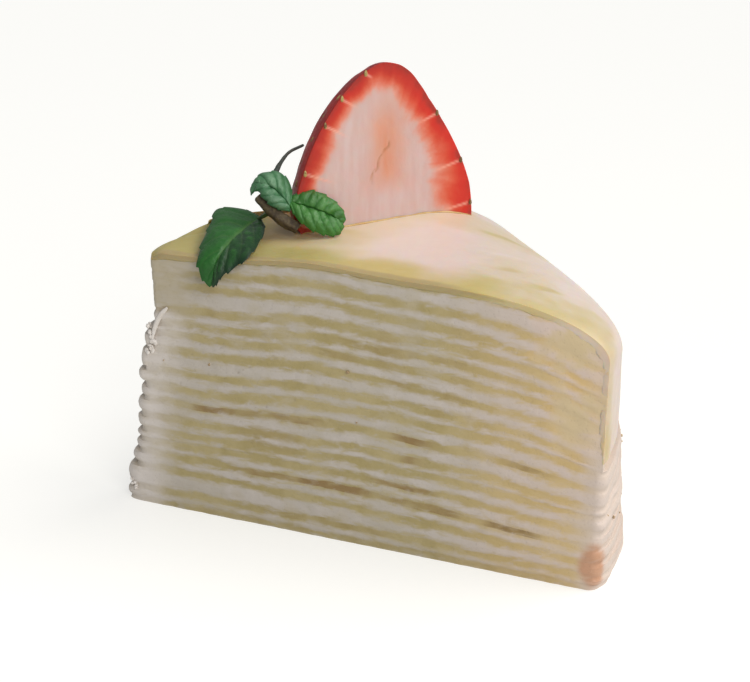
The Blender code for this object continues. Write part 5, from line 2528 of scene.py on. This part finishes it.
@dataclass
class MintSprig:
    """Three leaves on a short brown stem, with a bare stalk behind it."""

    bark: PlainFinish = PlainFinish((0.13, 0.095, 0.045), (0.055, 0.038, 0.022),
                                    Gloss(roughness=0.6), 900.0, 0.15)
    green: PlainFinish = PlainFinish((0.10, 0.16, 0.045), (0.05, 0.075, 0.03), Gloss(), 900.0, 0.08)
    dark: PlainFinish = PlainFinish((0.030, 0.045, 0.035), (0.05, 0.05, 0.035), Gloss(), 700.0, 0.08)
    # Each leaf finish lists the fresh green, the painted shade, the painted glint and the vein colour.
    bright: LeafFinish = LeafFinish((0.040, 0.175, 0.060), (0.014, 0.085, 0.035), (0.20, 0.36, 0.22),
                                    (0.025, 0.12, 0.04), Gloss(roughness=0.40, specular=0.5))
    vivid: LeafFinish = LeafFinish((0.025, 0.155, 0.014), (0.009, 0.070, 0.010), (0.11, 0.30, 0.080),
                                   (0.022, 0.12, 0.015), Gloss(roughness=0.38, specular=0.5))

    def leaves(self) -> list[MintLeaf]:
        """The three leaves.

        Returns:
            The large leaf, the small one and the right one.
        """
        large = MintLeaf(
            "mint_blade_large", "mint_leaf_large",
            rib=((29.5, 8.0, 59.7), (27.6, 3.5, 59.4), (25.6, -3.0, 59.1),
                 (23.6, -9.8, 58.1), (22.2, -12.1, 55.3), (21.4, -12.4, 51.8)),
            left=((29.3, 8.3, 59.8), (25.6, 12.8, 60.2), (20.3, 12.8, 60.3), (19.6, 4.0, 59.5),
                  (18.9, -4.0, 58.2), (18.6, -11.0, 56.0), (19.6, -12.2, 53.0), (21.0, -12.4, 51.5)),
            right=((29.6, 7.7, 59.5), (30.8, 2.0, 59.0), (30.3, -6.5, 58.7), (28.7, -12.6, 57.6),
                   (25.4, -13.3, 55.2), (23.4, -13.4, 53.8), (22.4, -13.0, 52.2), (21.6, -12.6, 51.5)),
            face=(0.0, -0.45, 0.90), finish=LeafFinish(), shaded_half=0.9, teeth=8,
            quilt=0.28 * MM, crinkle=0.22 * MM, tooth=0.60 * MM, arch=0.5 * MM)
        small = MintLeaf(
            "mint_blade_small", "mint_leaf_small",
            rib=((36.0, 3.0, 62.8), (34.2, 3.0, 65.5), (31.8, 3.8, 67.2),
                 (29.5, 4.8, 67.2), (28.0, 5.4, 65.2)),
            left=((35.8, 2.6, 62.4), (33.0, 1.6, 63.4), (30.8, 2.2, 65.0),
                  (29.5, 3.4, 66.4), (28.4, 4.8, 65.7), (27.9, 5.3, 65.0)),
            right=((36.1, 3.6, 63.0), (36.0, 5.6, 66.8), (33.8, 6.8, 69.4),
                   (30.2, 6.8, 69.3), (28.2, 6.2, 67.2), (27.8, 5.5, 65.3)),
            face=(-0.1, -0.85, 0.5), finish=self.bright, shaded_half=-0.3,
            quilt=0.35 * MM, crinkle=0.34 * MM, tooth=0.35 * MM)
        right = MintLeaf(
            "mint_blade_right", "mint_leaf_right",
            rib=((35.4, 3.8, 64.2), (38.8, 3.4, 63.4), (42.2, 3.4, 62.2),
                 (44.8, 3.8, 60.8), (46.4, 4.2, 59.4)),
            left=((35.4, 4.0, 64.3), (37.2, 5.2, 65.7), (40.2, 5.8, 66.0),
                  (43.6, 5.8, 64.6), (46.2, 5.0, 62.4), (47.0, 4.4, 60.2)),
            right=((35.4, 3.5, 64.0), (37.2, 1.6, 61.3), (40.2, 1.0, 59.0),
                   (43.2, 1.4, 57.8), (45.5, 2.6, 57.6), (46.7, 3.8, 59.0)),
            face=(0.05, -0.9, 0.45), finish=self.vivid, shaded_half=-0.25, veins=7, teeth=7,
            quilt=0.34 * MM, crinkle=0.36 * MM, tooth=0.40 * MM)
        return [large, small, right]

    def stems(self) -> list[MintStem]:
        """The stem, the large leaf's stalk and the bare stalk.

        Returns:
            The three, in that order.
        """
        return [
            MintStem("mint_sprig_stem",
                     ((29.4, 4.4, 65.0), (31.8, 3.2, 62.8), (34.6, 2.6, 60.6), (37.4, 2.4, 59.0)),
                     (1.00, 1.18, 1.25, 1.10), self.bark, ("mint_stem",)),
            MintStem("mint_leaf_stalk",
                     ((29.0, 7.2, 59.6), (30.2, 6.0, 60.6), (31.4, 4.4, 61.7), (32.4, 3.4, 62.2)),
                     (0.40, 0.45, 0.55, 0.65), self.green),
            MintStem("mint_bare_stalk",
                     ((31.8, 7.5, 67.0), (32.6, 9.0, 68.8), (33.6, 11.0, 70.4),
                      (35.2, 14.0, 71.9), (37.9, 18.0, 72.5)),
                     (0.60, 0.62, 0.42, 0.34, 0.28), self.dark, ("mint_stalk",))]

    def build(self, shift: Vector) -> list[bpy.types.Object]:
        """Makes the sprig's pieces."""
        return [part.build(shift) for part in (*self.leaves(), *self.stems())]


# ---- Small things ----------------------------------------------------------------------
@dataclass
class Leftovers:
    """Dabs of cream that the knife left on the tip, and crumbs of crepe, placed in millimetres."""

    seed: int = 21
    clusters: tuple[tuple[Point, Point, int], ...] = (
        ((7.8, -3.4, 38.5), (0.7, 0.5, 2.2), 16),
        ((7.0, -3.1, 35.2), (0.7, 0.5, 1.0), 7),
        ((1.6, -0.7, 3.5), (0.5, 0.5, 1.6), 9),
    )
    dab_sides: int = 14
    drip: tuple[Point, ...] = ((11.3, -5.0, 44.6), (9.9, -4.4, 43.0), (8.6, -3.9, 40.4), (7.8, -3.6, 37.4))
    drip_dabs: int = 24
    crumbs: int = 30
    crumb_sides: int = 10
    on_rim: float = 0.7
    on_near_cut: float = 0.85
    off_rim: float = 0.15 * MM
    off_cut: float = 0.12 * MM
    cream: PlainFinish = PlainFinish((0.84, 0.79, 0.75), (0.74, 0.68, 0.62),
                                     Gloss(roughness=0.26, coat=0.25, coat_roughness=0.15), 600.0)
    flour: PlainFinish = PlainFinish((0.52, 0.38, 0.22), (0.36, 0.25, 0.14), Gloss(roughness=0.7), 700.0)

    def build(self, shift: Vector) -> list[bpy.types.Object]:
        """Makes the dabs and the crumbs, each kind as one piece.

        Args:
            shift: Where the cake's apex lies in the frame.

        Returns:
            The two pieces.
        """
        chance = np.random.default_rng(self.seed)
        dabs = MeshDraft("cream_dabs")
        for middle, spread, count in self.clusters:
            for _ in range(count):
                centre = np.array(middle) + chance.uniform(-1.0, 1.0, 3) * np.array(spread)
                size = chance.uniform(0.22, 0.50) * np.array((1.0, 0.8, chance.uniform(0.8, 1.6)))
                self.lump(dabs, centre, size, 0.35, self.dab_sides)
        shares = np.linspace(0.0, 1.0, self.drip_dabs)
        for share, centre in zip(shares, smooth_path(self.drip, shares)):
            wide = 0.24 + 0.26 * math.sin(math.pi * share)
            self.lump(dabs, centre, wide * np.array((1.0, 0.7, 1.3)), 0.25, self.dab_sides)
        wet = settle(dabs.make(shift, self.cream.build("wet_cream")), "cream")
        bits = MeshDraft("crepe_crumbs")
        for _ in range(self.crumbs):
            centre = self.crumb_spot(chance) / MM
            self.lump(bits, centre, chance.uniform(0.12, 0.34, 3), 0.5, self.crumb_sides)
        return [wet, settle(bits.make(shift, self.flour.build("crepe_crumb")), "crepe")]

    def crumb_spot(self, chance: np.random.Generator) -> Array:
        """A place for a crumb, mostly low on the rounded side.

        Args:
            chance: Where the random numbers come from.

        Returns:
            The place.
        """
        kind = chance.random()
        height = chance.uniform(3.0, 30.0) * MM
        across = np.array(chance.uniform(0.02, 0.98))
        if kind < self.on_rim:
            radius = FORM.rim_radius(across) + FORM.flare(across, height / FORM.height) + self.off_rim
            return np.append(FORM.rim_point(across, radius), height)
        edge, side = (np.array(0.0), -1.0) if kind < self.on_near_cut else (np.array(1.0), 1.0)
        tip = FORM.tip_point(edge, height / FORM.height)
        plan = mix(tip, FORM.rim_point(edge, FORM.rim_radius(edge)), chance.uniform(0.05, 0.90))
        off = self.off_cut * np.array((-math.sin(FORM.half_angle), side * math.cos(FORM.half_angle)))
        return np.append(plan + off, height + chance.uniform(0.0, 20.0) * MM)

    @staticmethod
    def lump(draft: MeshDraft, centre: Array, size: Array, roughness: float, sides: int) -> None:
        """Adds one uneven rounded lump.

        Args:
            draft: The mesh that it goes into.
            centre: Its middle, in millimetres.
            size: Its half-widths, in millimetres.
            roughness: How uneven it is.
            sides: How many points it has round it.
        """
        tilt = np.linspace(0.0, math.pi, sides // 2 + 2)[1:-1, None]
        ball = np.stack((np.sin(tilt) * np.cos(turns(sides)), np.sin(tilt) * np.sin(turns(sides)),
                         -np.cos(tilt) + np.zeros(sides)), -1)
        swell = 1.0 + roughness * NOISE.rough(ball * 1.7 + centre)
        poles = [(centre + np.array((0.0, 0.0, end * size[2]))) * MM for end in (-1.0, 1.0)]
        draft.tube((centre + ball * swell[..., None] * size) * MM, poles)


# ---- The studio ------------------------------------------------------------------------
@dataclass
class Studio:
    """Pale floor, soft light from above on the right, a broad lamp in front, and the camera."""

    camera_spot: Point = (0.05285, -0.26891, 0.13631)
    camera_pitch: float = math.radians(20.5)
    lens: float = 67.2
    sensor: float = 36.0
    near_clip: float = 0.01
    sun_from: Point = (0.62, 0.05, 0.78)
    sun_angle: float = math.radians(45.0)
    sun_strength: float = 1.75
    sun_colour: Colour = (1.0, 0.985, 0.96)
    lamp_spot: Point = (0.23, -0.42, 0.30)
    lamp_aim: Point = (0.05, 0.0, 0.04)
    lamp_size: float = 0.25
    lamp_power: float = 1.2
    lamp_colour: Colour = (1.0, 0.97, 0.93)
    sky: float = 0.32
    sky_colour: Colour = (0.96, 0.975, 1.0)
    floor_reach: float = 4.0
    floor_colour: Colour = (0.50, 0.495, 0.465)
    floor_glow: Colour = (1.0, 0.998, 0.985)
    floor_seen: float = 0.60
    floor_cast: float = 0.25

    def build(self, shift: Vector) -> None:
        """Sets up floor, light and camera around the slice.

        Args:
            shift: Where the cake's apex lies in the frame.
        """
        self.floor()
        sun = self.light("sun", "SUN", self.sun_strength, self.sun_colour, Vector(self.sun_from))
        sun.data.angle = self.sun_angle
        lamp = self.light("front_lamp", "AREA", self.lamp_power, self.lamp_colour,
                          Vector(self.lamp_spot) - Vector(self.lamp_aim))
        lamp.data.size = self.lamp_size
        lamp.location = Vector(self.lamp_spot) + shift
        self.world()
        camera = bpy.data.cameras.new("camera")
        camera.lens = self.lens
        camera.sensor_width = self.sensor
        camera.clip_start = self.near_clip
        eye = linked("camera", camera)
        eye.location = Vector(self.camera_spot) + shift
        eye.rotation_euler = (math.pi / 2.0 - self.camera_pitch, 0.0, 0.0)
        bpy.context.scene.camera = eye
        bpy.context.scene.view_settings.view_transform = "Standard"

    def floor(self) -> None:
        """A wide pale floor, that shines more to the camera than it lights the cake."""
        mesh = bpy.data.meshes.new("floor")
        far = self.floor_reach
        corners = [(-far, -far, 0.0), (far, -far, 0.0), (far, far, 0.0), (-far, far, 0.0)]
        mesh.from_pydata(corners, [], [(0, 1, 2, 3)])
        coat = Gloss(specular=0.1).start("floor")
        seen = coat.node("LightPath").outputs["Is Camera Ray"]
        coat.feed(coat.shader, base_color=self.floor_colour, emission_color=self.floor_glow,
                  emission_strength=coat.number(seen, self.floor_cast, self.floor_seen))
        mesh.materials.append(coat.material)
        linked("floor", mesh)

    @staticmethod
    def light(name: str, kind: str, power: float, colour: Colour, away: Vector) -> bpy.types.Object:
        """Adds one light.

        Args:
            name: The light's name.
            kind: Blender's name for its kind.
            power: How strong it is.
            colour: Its colour.
            away: Direction that it shines from.

        Returns:
            The light's object.
        """
        data = bpy.data.lights.new(name, kind)
        data.energy = power
        data.color = colour
        light = linked(name, data)
        light.rotation_euler = away.to_track_quat("Z", "Y").to_euler()
        return light

    def world(self) -> None:
        """An even soft sky."""
        world = bpy.data.worlds.new("studio")
        world.use_nodes = True
        sketch = Sketch(world.node_tree)
        sketch.feed(sketch.tree.nodes["Background"], color=self.sky_colour, strength=self.sky)
        bpy.context.scene.world = world


def main() -> None:
    """Builds every part of the slice in order."""
    logging.basicConfig(level=logging.INFO, format="%(name)s: %(message)s")
    shift = FORM.apex_in_frame()
    for part in (CakeStack(), DrapedCrepe(), StrawberryHalf(), MintSprig(), Leftovers()):
        part.build(shift)
        LOG.info("%s is in place", type(part).__name__)
    Studio().build(shift)


if __name__ == "__main__":
    main()
